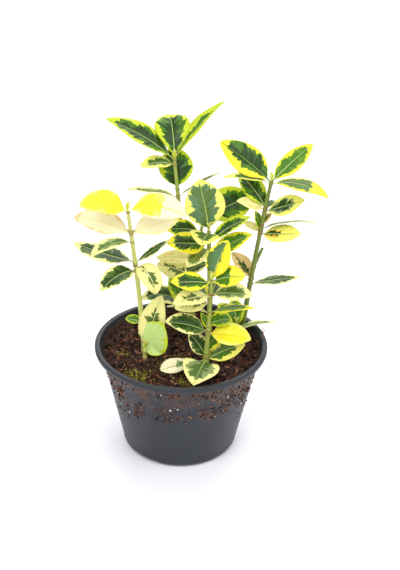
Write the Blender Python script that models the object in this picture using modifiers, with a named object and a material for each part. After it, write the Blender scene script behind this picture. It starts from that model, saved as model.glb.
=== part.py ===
"""Young variegated euonymus of six tall and two low shoots in a round nursery pot.

The origin is the centre of the pot's flat underside, +Z is up and -Y is the front.
Named sizes are millimetres and degrees, and points are turned to metres as they are
placed. Headings run anticlockwise seen from above: 0 right, 90 back, 180 left, 270 front.
"""
import math
from dataclasses import dataclass

import bmesh
import bpy
from mathutils import Matrix, Vector

MM = 0.001
GAP = 0.3
MERGE = 0.00001

# Pot
RIM_RADIUS = 60.0
POT_HEIGHT = 78.0
FOOT_RADIUS = 38.5
WALL = 1.2
BASE_THICK = 1.5
COLLAR_HEIGHT = 3.6
COLLAR_WIDTH = 3.8
WALL_RADIUS_HIGH = 55.6
WALL_RADIUS_LOW = 40.6
FOOT_ROUND = 5.0
TURN_STEPS = 48
NOTCH_COUNT = 3
NOTCH_HEADING = 231.0
NOTCH_SPAN = 34.0
NOTCH_HEIGHT = 2.8
NOTCH_INNER_RADIUS = 33.5

# Peat
PEAT_CENTRE_HEIGHT = 74.0
PEAT_EDGE_HEIGHT = 71.5
PEAT_BOTTOM_RADIUS = 32.0
PEAT_SHOULDER_HEIGHT = 6.5

# Stems
STEM_SIDES = 7
FOOT_FLARE = 1.35
FLARE_HEIGHT = 3.0
NODE_SWELL = 1.22
NODE_HALF_LENGTH = 1.6
TIP_OVERRUN = 0.8

# Leaves
LEAF_THICK = 0.6
PETIOLE_SHARE = 0.09
PETIOLE_HALF_WIDTH = 0.75
TIP_HALF_WIDTH = 0.35
LEAF_ROWS = 7
LIGHT = Vector((0.0, -0.72, 0.69))


@dataclass(frozen=True)
class Leaf:
    """A leaf: the height and heading it leaves its shoot at, and its own form.

    Arch is its whole downward bend, turn how far it rolls to the light, fold the angle
    of its halves, and broad the share of the blade's length where it is widest.
    """
    height: float
    heading: float
    rise: float
    length: float
    width: float
    arch: float = 25.0
    turn: float = 0.5
    fold: float = 16.0
    broad: float = 0.46


@dataclass(frozen=True)
class Twig:
    """A short side twig with a cut or growing end."""
    height: float
    heading: float
    rise: float
    length: float
    radius: float


@dataclass(frozen=True)
class Shoot:
    """The axis of one shoot: where it stands, how it leans and bows, how thick it is."""
    foot: tuple
    lean: tuple
    bow: tuple
    top: float
    radius: float
    tip_radius: float

    def place(self, height):
        """Centre of the axis at a height above the pot's underside."""
        rise = height - PEAT_EDGE_HEIGHT
        across = self.foot[0] + self.lean[0] * rise + self.bow[0] * rise * rise / 1000
        back = self.foot[1] + self.lean[1] * rise + self.bow[1] * rise * rise / 1000
        return Vector((across, back, height))

    def thickness(self, height):
        """Radius of the axis at a height, tapering evenly from foot to tip."""
        share = (height - PEAT_EDGE_HEIGHT) / (self.top - PEAT_EDGE_HEIGHT)
        return self.radius + (self.tip_radius - self.radius) * min(max(share, 0), 1)


SHOOTS = {
    "left": Shoot((-25, -6), (-0.065, 0.0), (-0.33, 0.0), 181, 2.0, 1.1),
    "front": Shoot((17, -22.5), (0.045, 0.0), (0.0, 0.0), 140, 1.9, 1.0),
    "middle": Shoot((20, 8), (-0.03, 0.0), (0.0, 0.0), 161, 1.8, 1.1),
    "inner": Shoot((9, 25), (-0.14, 0.0), (2.2, 0.0), 162, 1.6, 1.0),
    "back": Shoot((6.5, 36), (-0.105, 0.0), (0.0, 0.0), 201, 1.9, 1.1),
    "right": Shoot((43, 28), (0.10, -0.03), (0.25, 0.0), 191, 1.9, 1.2),
    "low_left": Shoot((-24.5, -15), (0.0, 0.1), (0.0, 0.0), 81, 1.5, 1.1),
    "low_right": Shoot((38.5, 19), (0.0, 0.0), (0.0, 0.0), 82, 1.3, 1.0),
}

# Each limb is one stretch of a shoot: bare where it has no leaves, a mass where it has.
LIMBS = {
    "stem_left": ("left", None, 94, ()),
    "mass_left_middle": ("left", 94, 148, (
        Leaf(97, 168, 5, 12, 8),
        Leaf(137, 225, -8, 33, 16, arch=60, turn=0.5),
        Leaf(141, 318, -38, 27, 17, arch=100, turn=0.4),
        Leaf(143.5, 150, 1, 50, 17, arch=-10, turn=0.3, fold=5),
        Leaf(143, 10, 34, 28, 11, arch=5, turn=0.0, fold=4),
    )),
    "mass_left_top": ("left", 148, None, (
        Leaf(158, 225, 3, 37, 13, arch=50, turn=0.15),
        Leaf(164, 165, 9, 41, 18, arch=30, turn=0.8),
        Leaf(164, 22, 10, 34, 18, arch=20, turn=0.7),
        Leaf(166, 90, -30, 24, 12),
        Leaf(180, 200, 15, 35, 19, arch=60, turn=0.8),
        Leaf(181, 345, 2, 42, 20, arch=60, turn=0.8),
    )),
    "stem_front": ("front", None, 76, ()),
    "mass_front_low": ("front", 76, 108, (
        Leaf(77.6, 255, -2, 31, 26, arch=30, broad=0.35),
        Leaf(77.6, 196, -5, 32, 13, arch=10, turn=0.5, broad=0.7),
        Leaf(78, 12, 20, 29, 16, turn=0.8),
        Leaf(80.5, 162, 52, 21, 13, turn=0.9),
        Leaf(84, 50, 40, 17, 11),
        Leaf(99, 345, 1, 30, 18, turn=0.7),
        Leaf(100.5, 195, 21, 32, 17, turn=0.6),
        Leaf(102, 150, 62, 13, 6),
        Leaf(105, 20, 4, 18, 13, arch=70),
    )),
    "mass_front_top": ("front", 108, None, (
        Leaf(115, 165, 0, 30, 13, turn=-0.5),
        Leaf(115.5, 345, 16, 31, 13, turn=-0.1, fold=5),
        Leaf(123, 188, -8, 24, 15, turn=0.6),
        Leaf(126, 80, 0, 24, 14),
        Leaf(128, 208, 2, 28, 15, turn=0.5),
        Leaf(129.5, 350, 4, 28, 17, turn=0.4),
        Leaf(138, 195, 7, 28, 16, arch=10, turn=0.5, fold=10),
        Leaf(139, 350, 16, 23, 17, turn=0.7),
        Leaf(139.5, 41, 63, 29, 17, turn=0.8),
    )),
    "stem_middle": ("middle", None, 133, ()),
    "mass_middle": ("middle", 133, None, (
        Leaf(136.5, 198, -18, 18, 12, arch=40),
        Leaf(140, 15, 27, 34, 15),
        Leaf(148, 225, -21, 22, 14, arch=40),
        Leaf(151, 200, 10, 30, 18, arch=5, turn=0.7, fold=8),
        Leaf(152, 15, 30, 33, 12, turn=0.3),
        Leaf(159, 258, 8, 25, 22, turn=0.5),
        Leaf(160, 118, 62, 36, 28, turn=0.8, fold=10),
    )),
    "stem_inner": ("inner", None, 113, ()),
    "mass_inner_low": ("inner", 113, 140, (
        Leaf(117, 168, 12, 27, 17, turn=0.9),
        Leaf(128.5, 182, 5, 27, 13),
    )),
    "mass_inner_top": ("inner", 140, None, (
        Leaf(152, 186, 5, 25, 14, turn=0.7),
        Leaf(160, 25, 18, 40, 27, turn=0.9),
    )),
    "stem_back": ("back", None, 79, ()),
    "mass_back_low": ("back", 79, 104, (
        Leaf(82, 165, 6, 42, 17, arch=100),
        Leaf(86, 157, 50, 26, 17, turn=0.8),
        Leaf(91, 50, 10, 26, 16),
        Leaf(92, 110, 10, 17, 13),
    )),
    "bough_back": ("back", 104, 168, ()),
    "mass_back_middle": ("back", 168, 190, (
        Leaf(172, 170, 4, 36, 13, arch=15, turn=-0.15),
        Leaf(173, 10, 30, 33, 12, arch=8, turn=-0.6),
        Leaf(178, 103, 60, 30, 24, turn=0.8, fold=10),
    )),
    "mass_back_top": ("back", 190, None, (
        Leaf(196.5, 200, 3, 25, 13, arch=40, turn=0.45),
        Leaf(200, 182, 32, 54, 21, turn=0.4),
        Leaf(200, 100, 44, 36, 25, arch=80, turn=0.8, broad=0.6),
        Leaf(200, 15, 49, 52, 17, fold=15, turn=0.0),
    )),
    "stem_right": ("right", None, 107, ()),
    "mass_right_low": ("right", 107, 148, (
        Leaf(111, 15, 2, 37, 11, arch=5, turn=0.15, fold=4),
        Leaf(115, 152, 46, 23, 14),
        Twig(124, 10, 68, 16, 1.1),
    )),
    "mass_right_top": ("right", 148, None, (
        Leaf(151, 343, 9, 29, 17, arch=0, turn=0.5, fold=8),
        Leaf(152, 160, 22, 14, 7),
        Leaf(153, 150, 70, 15, 7),
        Leaf(154.5, 8, 4, 40, 10, arch=40, turn=-0.4, fold=5),
        Leaf(158, 25, 45, 10, 6),
        Leaf(168, 343, 25, 30, 17, arch=0, turn=0.6, fold=10),
        Leaf(169, 185, 20, 21, 11),
        Leaf(170, 80, -10, 24, 14),
        Leaf(171, 138, 36, 31, 16, turn=0.8),
        Leaf(189, 343, -6, 42, 17, arch=55, turn=0.1, fold=5),
        Leaf(189.5, 190, 10, 34, 12, turn=0.0),
        Leaf(190, 32, 33, 39, 15, arch=10, turn=0.7, fold=5),
        Leaf(190, 158, 31, 44, 22, arch=15, turn=0.9),
    )),
    "stem_low_left": ("low_left", None, 76, ()),
    "mass_low_left": ("low_left", 76, None, (
        Leaf(77.5, 345, 62, 29, 25, arch=10, turn=0.9, fold=5, broad=0.4),
        Leaf(78.5, 40, 70, 42, 19, arch=10, turn=0.8),
    )),
    "stem_low_right": ("low_right", None, 75.5, ()),
    "mass_low_right": ("low_right", 75.5, None, (
        Leaf(78, 15, 4, 30, 10, turn=-0.3),
        Leaf(79, 155, 48, 22, 15, turn=0.7),
        Leaf(80, 100, 58, 21, 13, turn=0.7),
    )),
}

COLOURS = {
    "pot_plastic": (0.030, 0.032, 0.036, 0.55),
    "peat": (0.030, 0.016, 0.010, 0.95),
    "bark": (0.22, 0.27, 0.08, 0.60),
    "foliage": (0.20, 0.33, 0.04, 0.45),
}


def clear_scene():
    """Remove every object that is there."""
    for found in list(bpy.data.objects):
        bpy.data.objects.remove(found, do_unlink=True)


def new_collection(name):
    """Add a collection to the scene."""
    made = bpy.data.collections.new(name)
    bpy.context.scene.collection.children.link(made)
    return made


def material(name):
    """Principled material in the colour and roughness of the real one."""
    made = bpy.data.materials.get(name)
    if made is None:
        red, green, blue, roughness = COLOURS[name]
        made = bpy.data.materials.new(name)
        made.use_nodes = True
        shader = made.node_tree.nodes["Principled BSDF"]
        shader.inputs["Base Color"].default_value = (red, green, blue, 1)
        shader.inputs["Roughness"].default_value = roughness
        shader.inputs["Metallic"].default_value = 0
    return made


def add_object(name, mesh, collection, finish=None):
    """Put a mesh in the scene as a named object with its finish."""
    made = bpy.data.objects.new(name, mesh)
    collection.objects.link(made)
    if finish:
        mesh.materials.clear()
        mesh.materials.append(material(finish))
    return made


def turned(name, profile, collection, finish):
    """Solid of revolution round Z from a profile that runs down its outer side."""
    shape = bmesh.new()
    points = [shape.verts.new((radius * MM, 0, height * MM)) for radius, height in profile]
    for start, end in zip(points, points[1:]):
        shape.edges.new((start, end))
    mesh = bpy.data.meshes.new(name)
    shape.to_mesh(mesh)
    shape.free()
    made = add_object(name, mesh, collection, finish)
    screw = made.modifiers.new("turn", "SCREW")
    screw.axis = "Z"
    screw.angle = math.tau
    screw.steps = TURN_STEPS
    screw.render_steps = TURN_STEPS
    screw.use_merge_vertices = True
    screw.merge_threshold = MERGE
    return made


def wall_radius(height):
    """Outer radius of the pot's wall, which tapers evenly above its rounded foot."""
    low, high = FOOT_ROUND, POT_HEIGHT - COLLAR_HEIGHT
    share = (height - low) / (high - low)
    return WALL_RADIUS_LOW + (WALL_RADIUS_HIGH - WALL_RADIUS_LOW) * share


def foot_curve(radius_in, steps=3):
    """Rounded edge from the wall down to the underside, as radius and height pairs."""
    across = WALL_RADIUS_LOW - FOOT_RADIUS + 2.4
    for step in range(steps + 1):
        angle = math.radians(90 * step / steps)
        radius = WALL_RADIUS_LOW - across + across * math.cos(angle)
        yield radius - radius_in, FOOT_ROUND - FOOT_ROUND * math.sin(angle)


def build_pot(collection, cutters):
    """Thin tapered shell with a collar, a rounded foot and three drain notches."""
    inner_top = RIM_RADIUS - COLLAR_WIDTH
    collar_low = POT_HEIGHT - COLLAR_HEIGHT
    profile = [(0, BASE_THICK), (PEAT_BOTTOM_RADIUS + 1, BASE_THICK)]
    profile += [(wall_radius(FOOT_ROUND) - WALL, FOOT_ROUND + 0.8)]
    profile += [(wall_radius(collar_low - 3) - WALL, collar_low - 3)]
    profile += [(inner_top, POT_HEIGHT - 0.5), (inner_top + 0.5, POT_HEIGHT)]
    profile += [(RIM_RADIUS - 0.9, POT_HEIGHT), (RIM_RADIUS, POT_HEIGHT - 0.9)]
    profile += [(RIM_RADIUS, collar_low + 0.5), (RIM_RADIUS - 0.5, collar_low)]
    profile += [(WALL_RADIUS_HIGH, collar_low)]
    profile += list(foot_curve(0))
    profile += [(0, 0)]
    pot = turned("pot", profile, collection, "pot_plastic")
    for index in range(NOTCH_COUNT):
        heading = math.radians(NOTCH_HEADING + index * 360 / NOTCH_COUNT)
        reach = (NOTCH_INNER_RADIUS + FOOT_RADIUS + 8) / 2
        depth = FOOT_RADIUS + 8 - NOTCH_INNER_RADIUS
        width = 2 * FOOT_RADIUS * math.sin(math.radians(NOTCH_SPAN / 2))
        bpy.ops.mesh.primitive_cube_add(size=1)
        cutter = bpy.context.object
        cutter.name = f"notch_cutter_{index}"
        place = Matrix.Rotation(heading, 4, "Z") @ Matrix.Translation((reach * MM, 0, 0))
        size = Matrix.Diagonal((depth * MM, width * MM, 2 * NOTCH_HEIGHT * MM, 1))
        cutter.data.transform(place @ size)
        for holder in list(cutter.users_collection):
            holder.objects.unlink(cutter)
        cutters.objects.link(cutter)
        cutter.hide_render = True
        cutter.display_type = "WIRE"
        cut = pot.modifiers.new(f"notch_{index}", "BOOLEAN")
        cut.operation = "DIFFERENCE"
        cut.object = cutter
    pot.data.shade_smooth()
    return pot


def peat_height(radius):
    """Height of the slightly mounded peat at a distance from the pot's axis."""
    drop = PEAT_CENTRE_HEIGHT - PEAT_EDGE_HEIGHT
    return PEAT_CENTRE_HEIGHT - drop * (radius / WALL_RADIUS_HIGH) ** 2


def build_peat(collection):
    """Filled body of peat that keeps a small gap to the pot."""
    clear = WALL + GAP
    edge = wall_radius(PEAT_EDGE_HEIGHT) - clear
    profile = [(0, PEAT_CENTRE_HEIGHT)]
    profile += [(radius, peat_height(radius)) for radius in (14, 28, 42)]
    profile += [(edge - 1.2, peat_height(edge)), (edge, peat_height(edge) - 1.2)]
    profile += [(wall_radius(PEAT_SHOULDER_HEIGHT) - clear, PEAT_SHOULDER_HEIGHT)]
    profile += [(PEAT_BOTTOM_RADIUS, BASE_THICK + GAP), (0, BASE_THICK + GAP)]
    peat = turned("peat", profile, collection, "peat")
    peat.data.shade_smooth()
    return peat


def tube(name, points, radii, collection):
    """Closed tube through points with a radius at each, its caps welded on."""
    curve = bpy.data.curves.new(name, "CURVE")
    curve.dimensions = "3D"
    curve.bevel_depth = MM
    curve.bevel_resolution = (STEM_SIDES - 3) // 2
    curve.use_fill_caps = True
    spline = curve.splines.new("POLY")
    spline.points.add(len(points) - 1)
    for target, place, radius in zip(spline.points, points, radii):
        target.co = (*(place * MM), 1)
        target.radius = radius
    holder = bpy.data.objects.new(name, curve)
    collection.objects.link(holder)
    evaluated = holder.evaluated_get(bpy.context.evaluated_depsgraph_get())
    mesh = bpy.data.meshes.new_from_object(evaluated)
    bpy.data.objects.remove(holder, do_unlink=True)
    bpy.data.curves.remove(curve)
    shape = bmesh.new()
    shape.from_mesh(mesh)
    bmesh.ops.remove_doubles(shape, verts=shape.verts, dist=MERGE)
    bmesh.ops.recalc_face_normals(shape, faces=shape.faces)
    shape.to_mesh(mesh)
    shape.free()
    made = add_object(name, mesh, collection)
    mesh.shade_smooth()
    return made


def node_heights(parts):
    """Heights where leaves or twigs leave a limb, without near repeats."""
    found = []
    for height in sorted(part.height for part in parts):
        if not found or height - found[-1] > 2 * NODE_HALF_LENGTH:
            found.append(height)
    return found


def limb_stations(shoot, low, high, parts):
    """Heights and radii along one stretch of a shoot, swollen where leaves leave it."""
    stations = {low: 1.0, high: 1.0}
    steps = max(1, round((high - low) / 16))
    for step in range(1, steps):
        stations[low + (high - low) * step / steps] = 1.0
    for height in node_heights(parts):
        inside = low + 0.6 < height < high - 0.6
        for offset, swell in ((-NODE_HALF_LENGTH, 1.0), (0, NODE_SWELL), (NODE_HALF_LENGTH, 1.0)):
            if inside and low + 0.5 < height + offset < high - 0.5:
                stations[height + offset] = swell
    ordered = sorted(stations.items())
    kept = [ordered[0]]
    for height, swell in ordered[1:]:
        if height - kept[-1][0] > 0.7:
            kept.append((height, swell))
        elif height == high:
            kept[-1] = (height, swell)
    return [(height, shoot.thickness(height) * swell) for height, swell in kept]


def build_limb(name, shoot_name, low, high, parts, collection):
    """Tube of one stretch of a shoot, from its flat foot or the limb below it."""
    shoot = SHOOTS[shoot_name]
    rooted = low is None
    if rooted:
        foot = shoot.place(PEAT_EDGE_HEIGHT)
        reach = math.hypot(foot.x, foot.y) - shoot.radius * FOOT_FLARE
        low = peat_height(max(reach, 0)) + GAP
    else:
        low += GAP
    if high is None:
        high = shoot.top + TIP_OVERRUN
    stations = limb_stations(shoot, low, high, parts)
    if rooted:
        flare = shoot.radius * FOOT_FLARE
        above = [(height, size) for height, size in stations if height > low + FLARE_HEIGHT + 0.5]
        if not above:
            above = [stations[-1]]
        bend = min(low + FLARE_HEIGHT, (low + above[0][0]) / 2)
        stations = [(low, flare), (low + 0.8, flare * 0.9), (bend, shoot.radius)] + above
    points = [shoot.place(height) for height, size in stations]
    if rooted:
        points[0].x, points[0].y = points[1].x, points[1].y
    return tube(name, points, [size for height, size in stations], collection)


def leaf_half_width(leaf, share):
    """Half width of a leaf at a share of its length, from petiole to pointed tip."""
    if share <= PETIOLE_SHARE:
        return PETIOLE_HALF_WIDTH
    along = (share - PETIOLE_SHARE) / (1 - PETIOLE_SHARE)
    skew = math.log(0.5) / math.log(leaf.broad)
    swell = math.sin(math.pi * along ** skew) ** 0.8 if along < 1 else 0
    return max(leaf.width / 2 * swell, TIP_HALF_WIDTH if share >= 1 else PETIOLE_HALF_WIDTH)


def leaf_frame(leaf, share):
    """Directions along, across and out of a leaf's blade at a share of its length."""
    heading = math.radians(leaf.heading)
    climb = math.radians(leaf.rise + leaf.arch / 2 - leaf.arch * share)
    flat = Vector((math.cos(heading), math.sin(heading), 0))
    along = flat * math.cos(climb) + Vector((0, 0, math.sin(climb)))
    across = Vector((-math.sin(heading), math.cos(heading), 0))
    out = along.cross(across)
    to_light = math.atan2(-across.dot(LIGHT), out.dot(LIGHT))
    roll = leaf.turn * to_light * min(1, share / 0.3)
    rolled = across * math.cos(roll) + out * math.sin(roll)
    return along, rolled, along.cross(rolled)


def leaf_midrib(leaf, base, share, steps=12):
    """Point on a leaf's midrib, which bends evenly from base to tip."""
    point = base.copy()
    for step in range(steps):
        middle = share * (step + 0.5) / steps
        point += leaf_frame(leaf, middle)[0] * (leaf.length * share / steps)
    return point


def leaf_point(leaf, base, share, side):
    """Point on a leaf's blade: side is -1 and 1 at its edges and 0 at its midrib."""
    along, across, out = leaf_frame(leaf, share)
    half = leaf_half_width(leaf, share)
    lift = math.radians(leaf.fold) * min(1, share / PETIOLE_SHARE / 2)
    spread = across * (side * half * math.cos(lift)) + out * (abs(side) * half * math.sin(lift))
    return leaf_midrib(leaf, base, share) + spread


def build_leaf(name, leaf, base, collection):
    """Blade folded at its midrib, bent from a grid and given its thickness."""
    shape = bmesh.new()
    bmesh.ops.create_grid(shape, x_segments=LEAF_ROWS - 1, y_segments=2, size=0.5)
    rows = [0, PETIOLE_SHARE, 0.24, 0.44, 0.64, 0.83, 1]
    for vertex in shape.verts:
        share = rows[round((vertex.co.x + 0.5) * (LEAF_ROWS - 1))]
        vertex.co = leaf_point(leaf, base, share, round(vertex.co.y * 2)) * MM
    mesh = bpy.data.meshes.new(name)
    shape.to_mesh(mesh)
    shape.free()
    made = add_object(name, mesh, collection)
    thick = made.modifiers.new("thickness", "SOLIDIFY")
    thick.thickness = LEAF_THICK * MM
    thick.offset = 0
    thick.use_even_offset = False
    return made


def build_twig(name, twig, base, collection):
    """Short side twig, cut across at its end."""
    heading, climb = math.radians(twig.heading), math.radians(twig.rise)
    flat = Vector((math.cos(heading), math.sin(heading), 0))
    along = flat * math.cos(climb) + Vector((0, 0, math.sin(climb)))
    points = [base + along * (twig.length * share) for share in (0, 0.5, 1)]
    radii = [twig.radius * size for size in (1.15, 1.0, 0.95)]
    return tube(name, points, radii, collection)


def fuse(body, joined):
    """One Boolean union of a limb with its leaves and twigs, applied for good."""
    union = body.modifiers.new("leaves", "BOOLEAN")
    union.operation = "UNION"
    union.operand_type = "COLLECTION"
    union.collection = joined
    evaluated = body.evaluated_get(bpy.context.evaluated_depsgraph_get())
    mesh = bpy.data.meshes.new_from_object(evaluated)
    body.modifiers.clear()
    spent = body.data
    body.data = mesh
    bpy.data.meshes.remove(spent)
    for piece in list(joined.objects):
        bpy.data.objects.remove(piece, do_unlink=True)
    bpy.data.collections.remove(joined)


def build_plant(collection):
    """Every limb of every shoot, with each mass fused to its leaves."""
    for name, (shoot_name, low, high, parts) in LIMBS.items():
        body = build_limb(name, shoot_name, low, high, parts, collection)
        if parts:
            joined = new_collection(f"{name}_joined")
            for index, part in enumerate(parts):
                base = SHOOTS[shoot_name].place(part.height)
                builder = build_twig if isinstance(part, Twig) else build_leaf
                builder(f"{name}_{index}", part, base, joined)
            fuse(body, joined)
        body.data.materials.clear()
        body.data.materials.append(material("foliage" if parts else "bark"))


def main():
    """Build the potted plant."""
    clear_scene()
    collection = new_collection("potted_euonymus")
    cutters = new_collection("cutters")
    build_pot(collection, cutters)
    build_peat(collection)
    build_plant(collection)


if __name__ == "__main__":
    main()
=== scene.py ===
"""Young variegated euonymus in a round nursery pot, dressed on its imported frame.

Named sizes are millimetres and degrees, and points are turned to metres when a mesh is
made. Headings run anticlockwise seen from above: 0 right, 90 back, 180 left, 270 front.
"""

import logging
import math
from dataclasses import dataclass, field
from enum import Enum

import bpy
import numpy as np
from mathutils import Matrix, Vector, noise


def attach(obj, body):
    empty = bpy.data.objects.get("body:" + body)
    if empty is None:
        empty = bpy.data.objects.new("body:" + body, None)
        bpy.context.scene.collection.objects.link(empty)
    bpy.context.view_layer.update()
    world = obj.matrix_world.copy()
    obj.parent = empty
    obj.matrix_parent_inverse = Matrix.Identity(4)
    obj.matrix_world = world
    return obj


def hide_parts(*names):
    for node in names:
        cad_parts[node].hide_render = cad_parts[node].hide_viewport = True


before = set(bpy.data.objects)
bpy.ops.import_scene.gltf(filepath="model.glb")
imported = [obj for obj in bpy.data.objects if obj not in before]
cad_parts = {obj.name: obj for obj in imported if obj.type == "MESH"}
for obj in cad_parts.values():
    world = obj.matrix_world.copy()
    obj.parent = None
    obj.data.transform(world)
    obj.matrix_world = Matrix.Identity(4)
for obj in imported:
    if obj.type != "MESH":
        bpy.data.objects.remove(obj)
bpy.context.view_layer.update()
LOG = logging.getLogger("euonymus")

MM = 0.001
UP = np.array([0.0, 0.0, 1.0])
SIDEWAYS = np.array([1.0, 0.0, 0.0])
# The side that leaves turn their faces to
LIGHT = np.array([0.0, -0.72, 0.69])
# The edge angle of a piece that is shaded smooth all over
FLAT_ANGLE = 180.0

# Sockets of a node that mixes colours, by number, because their names repeat
MIX_FACTOR = 0
MIX_FIRST = 6
MIX_SECOND = 7
MIX_RESULT = 2

# Pot, peat and leaf stalks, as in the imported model
RIM_RADIUS = 60.0
POT_HEIGHT = 78.0
WALL = 1.2
COLLAR_HEIGHT = 3.6
COLLAR_WIDTH = 3.8
WALL_RADIUS_HIGH = 55.6
WALL_RADIUS_LOW = 40.6
FOOT_ROUND = 5.0
PEAT_CENTRE_HEIGHT = 74.0
PEAT_EDGE_HEIGHT = 71.5
PETIOLE_SHARE = 0.09
PETIOLE_HALF_WIDTH = 0.75


class Hue(Enum):
    """Plain colours of leaf and stem parts: sRGB hex and roughness."""
    DARK = ("#23430a", 0.34)
    GREEN = ("#44730f", 0.36)
    BRIGHT = ("#5b8a18", 0.36)
    # Grey-green leaf colour with the glossy sheen of a lit face painted into it: a painted reflection
    TEAL = ("#587a4f", 0.24)
    GREY = ("#506b2e", 0.34)
    ASH = ("#86995c", 0.40)
    OLIVE = ("#6f7a24", 0.38)
    LIME = ("#c3d224", 0.40)
    YELLOW = ("#ebe02c", 0.42)
    GOLD = ("#dfcf14", 0.42)
    LEMON = ("#ece76c", 0.42)
    CREAM = ("#eee896", 0.44)
    IVORY = ("#f0e6bd", 0.46)
    PEACH = ("#e9c98a", 0.46)
    ORANGE = ("#dfae3c", 0.44)
    PALE = ("#c3dd80", 0.44)
    RIB = ("#a3b863", 0.42)
    RIB_DARK = ("#6f9138", 0.42)
    RIB_PALE = ("#ece6a6", 0.44)
    UNDER = ("#93a765", 0.50)
    SHOOT_PALE = ("#c9cc72", 0.46)
    SHOOT_GREEN = ("#9dab50", 0.46)
    SHOOT_OLIVE = ("#76863c", 0.50)
    NODE = ("#8a6f3c", 0.60)
    CUT = ("#4a3a2a", 0.80)


class Soil(Enum):
    """Plain colours of loose peat, fibre, chips and moss: sRGB hex and roughness."""
    BLACK = ("#1b100b", 0.95)
    DARK = ("#2e1a11", 0.92)
    BROWN = ("#4b2d1d", 0.90)
    RUST = ("#6d4230", 0.90)
    FIBRE = ("#93654f", 0.88)
    TAN = ("#b08c6c", 0.86)
    SPECK = ("#d9cdbb", 0.80)
    MOSS = ("#716b26", 0.85)
    MOSS_LIGHT = ("#9a9040", 0.85)


@dataclass(frozen=True)
class Tint:
    """How a leaf's colours lie: green in the middle, a pale margin outside it.

    Left and right are the share of each half that is green, seen from the base with the
    face towards the viewer, and tip the share of the length where the green ends. Ragged
    is how uneven the green's edge is, and split how much of the green is core, not band.
    """
    core: Hue
    band: Hue
    margin: Hue
    left: float = 0.62
    right: float = 0.62
    tip: float = 0.93
    rib: Hue = Hue.RIB
    ragged: float = 1.0
    split: float = 0.6


@dataclass(frozen=True)
class Leaf:
    """A leaf: where it leaves its shoot, its own form, and its colours."""
    height: float
    heading: float
    rise: float
    length: float
    width: float
    tint: Tint
    arch: float = 25.0
    turn: float = 0.5
    fold: float = 16.0
    broad: float = 0.46


@dataclass(frozen=True)
class Twig:
    """A short side twig, cut across."""
    height: float
    heading: float
    rise: float
    length: float
    radius: float


@dataclass(frozen=True)
class Shoot:
    """The axis of one shoot: where it stands, how it leans and bows, how thick it is."""
    foot: tuple[float, float]
    lean: tuple[float, float]
    bow: tuple[float, float]
    top: float
    radius: float
    tip_radius: float
    hue: Hue

    def place(self, height: float) -> np.ndarray:
        """Find the middle of the shoot.

        Args:
            height: Height above the pot's underside.

        Returns:
            The point of its axis there.
        """
        rise = height - PEAT_EDGE_HEIGHT
        across = self.foot[0] + self.lean[0] * rise + self.bow[0] * rise * rise / 1000
        back = self.foot[1] + self.lean[1] * rise + self.bow[1] * rise * rise / 1000
        return np.array([across, back, height])

    def thickness(self, height: float) -> float:
        """Radius of the axis at a height, tapering evenly from foot to tip."""
        share = (height - PEAT_EDGE_HEIGHT) / (self.top - PEAT_EDGE_HEIGHT)
        return self.radius + (self.tip_radius - self.radius) * min(max(share, 0), 1)


# Greens whose underside is paler
GREENS = (Hue.DARK, Hue.GREEN, Hue.GREY, Hue.TEAL, Hue.BRIGHT, Hue.OLIVE)

# A ball of twenty triangles, which every crumb is a bent copy of
GOLDEN = (1 + 5 ** 0.5) / 2
BALL = np.array([
    (-1, GOLDEN, 0), (1, GOLDEN, 0), (-1, -GOLDEN, 0), (1, -GOLDEN, 0), (0, -1, GOLDEN),
    (0, 1, GOLDEN), (0, -1, -GOLDEN), (0, 1, -GOLDEN), (GOLDEN, 0, -1), (GOLDEN, 0, 1),
    (-GOLDEN, 0, -1), (-GOLDEN, 0, 1)]) / math.hypot(1, GOLDEN)
BALL_FACES = np.array([
    (0, 11, 5), (0, 5, 1), (0, 1, 7), (0, 7, 10), (0, 10, 11), (1, 5, 9), (5, 11, 4),
    (11, 10, 2), (10, 7, 6), (7, 1, 8), (3, 9, 4), (3, 4, 2), (3, 2, 6), (3, 6, 8),
    (3, 8, 9), (4, 9, 5), (2, 4, 11), (6, 2, 10), (8, 6, 7), (9, 8, 1)])

# Tints, named by the look they give
DARK_LIME = Tint(Hue.DARK, Hue.GREEN, Hue.LIME, 0.74, 0.74)
DARK_CREAM = Tint(Hue.DARK, Hue.GREY, Hue.CREAM, 0.80, 0.80, 0.95)
DARK_YELLOW = Tint(Hue.DARK, Hue.GREEN, Hue.YELLOW, 0.66, 0.66, 0.88)
GREEN_LIME = Tint(Hue.GREEN, Hue.BRIGHT, Hue.LIME, 0.70, 0.70)
GREEN_YELLOW = Tint(Hue.GREEN, Hue.BRIGHT, Hue.YELLOW, 0.70, 0.70)
GREY_CREAM = Tint(Hue.GREY, Hue.ASH, Hue.CREAM, 0.66, 0.66, 0.86)
GREY_YELLOW = Tint(Hue.GREY, Hue.GREEN, Hue.LEMON, 0.55, 0.55, 0.82)
GREY_IVORY = Tint(Hue.GREY, Hue.ASH, Hue.IVORY, 0.50, 0.50, 0.70)
ALL_YELLOW = Tint(Hue.YELLOW, Hue.YELLOW, Hue.LEMON, 0.8, 0.8, 0.95, Hue.GOLD)
YELLOW_IVORY = Tint(Hue.YELLOW, Hue.LEMON, Hue.IVORY, 0.95, 0.95, 0.62, Hue.YELLOW)
IVORY_PEACH = Tint(Hue.IVORY, Hue.IVORY, Hue.PEACH, 0.9, 0.75, 0.97, Hue.RIB_PALE)
IVORY_OLIVE = Tint(Hue.IVORY, Hue.IVORY, Hue.CREAM, 0.9, 0.8, 0.96, Hue.RIB_PALE)
CREAM_PEACH = Tint(Hue.CREAM, Hue.PEACH, Hue.CREAM, 0.7, 0.6, 0.9, Hue.RIB_PALE)
CREAM_GREEN = Tint(Hue.GREY, Hue.OLIVE, Hue.CREAM, 0.30, 0.22, 0.85, Hue.RIB_PALE, 1.6)
PALE_LIME = Tint(Hue.PALE, Hue.PALE, Hue.LIME, 0.85, 0.8, 0.94, Hue.PALE)
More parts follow.
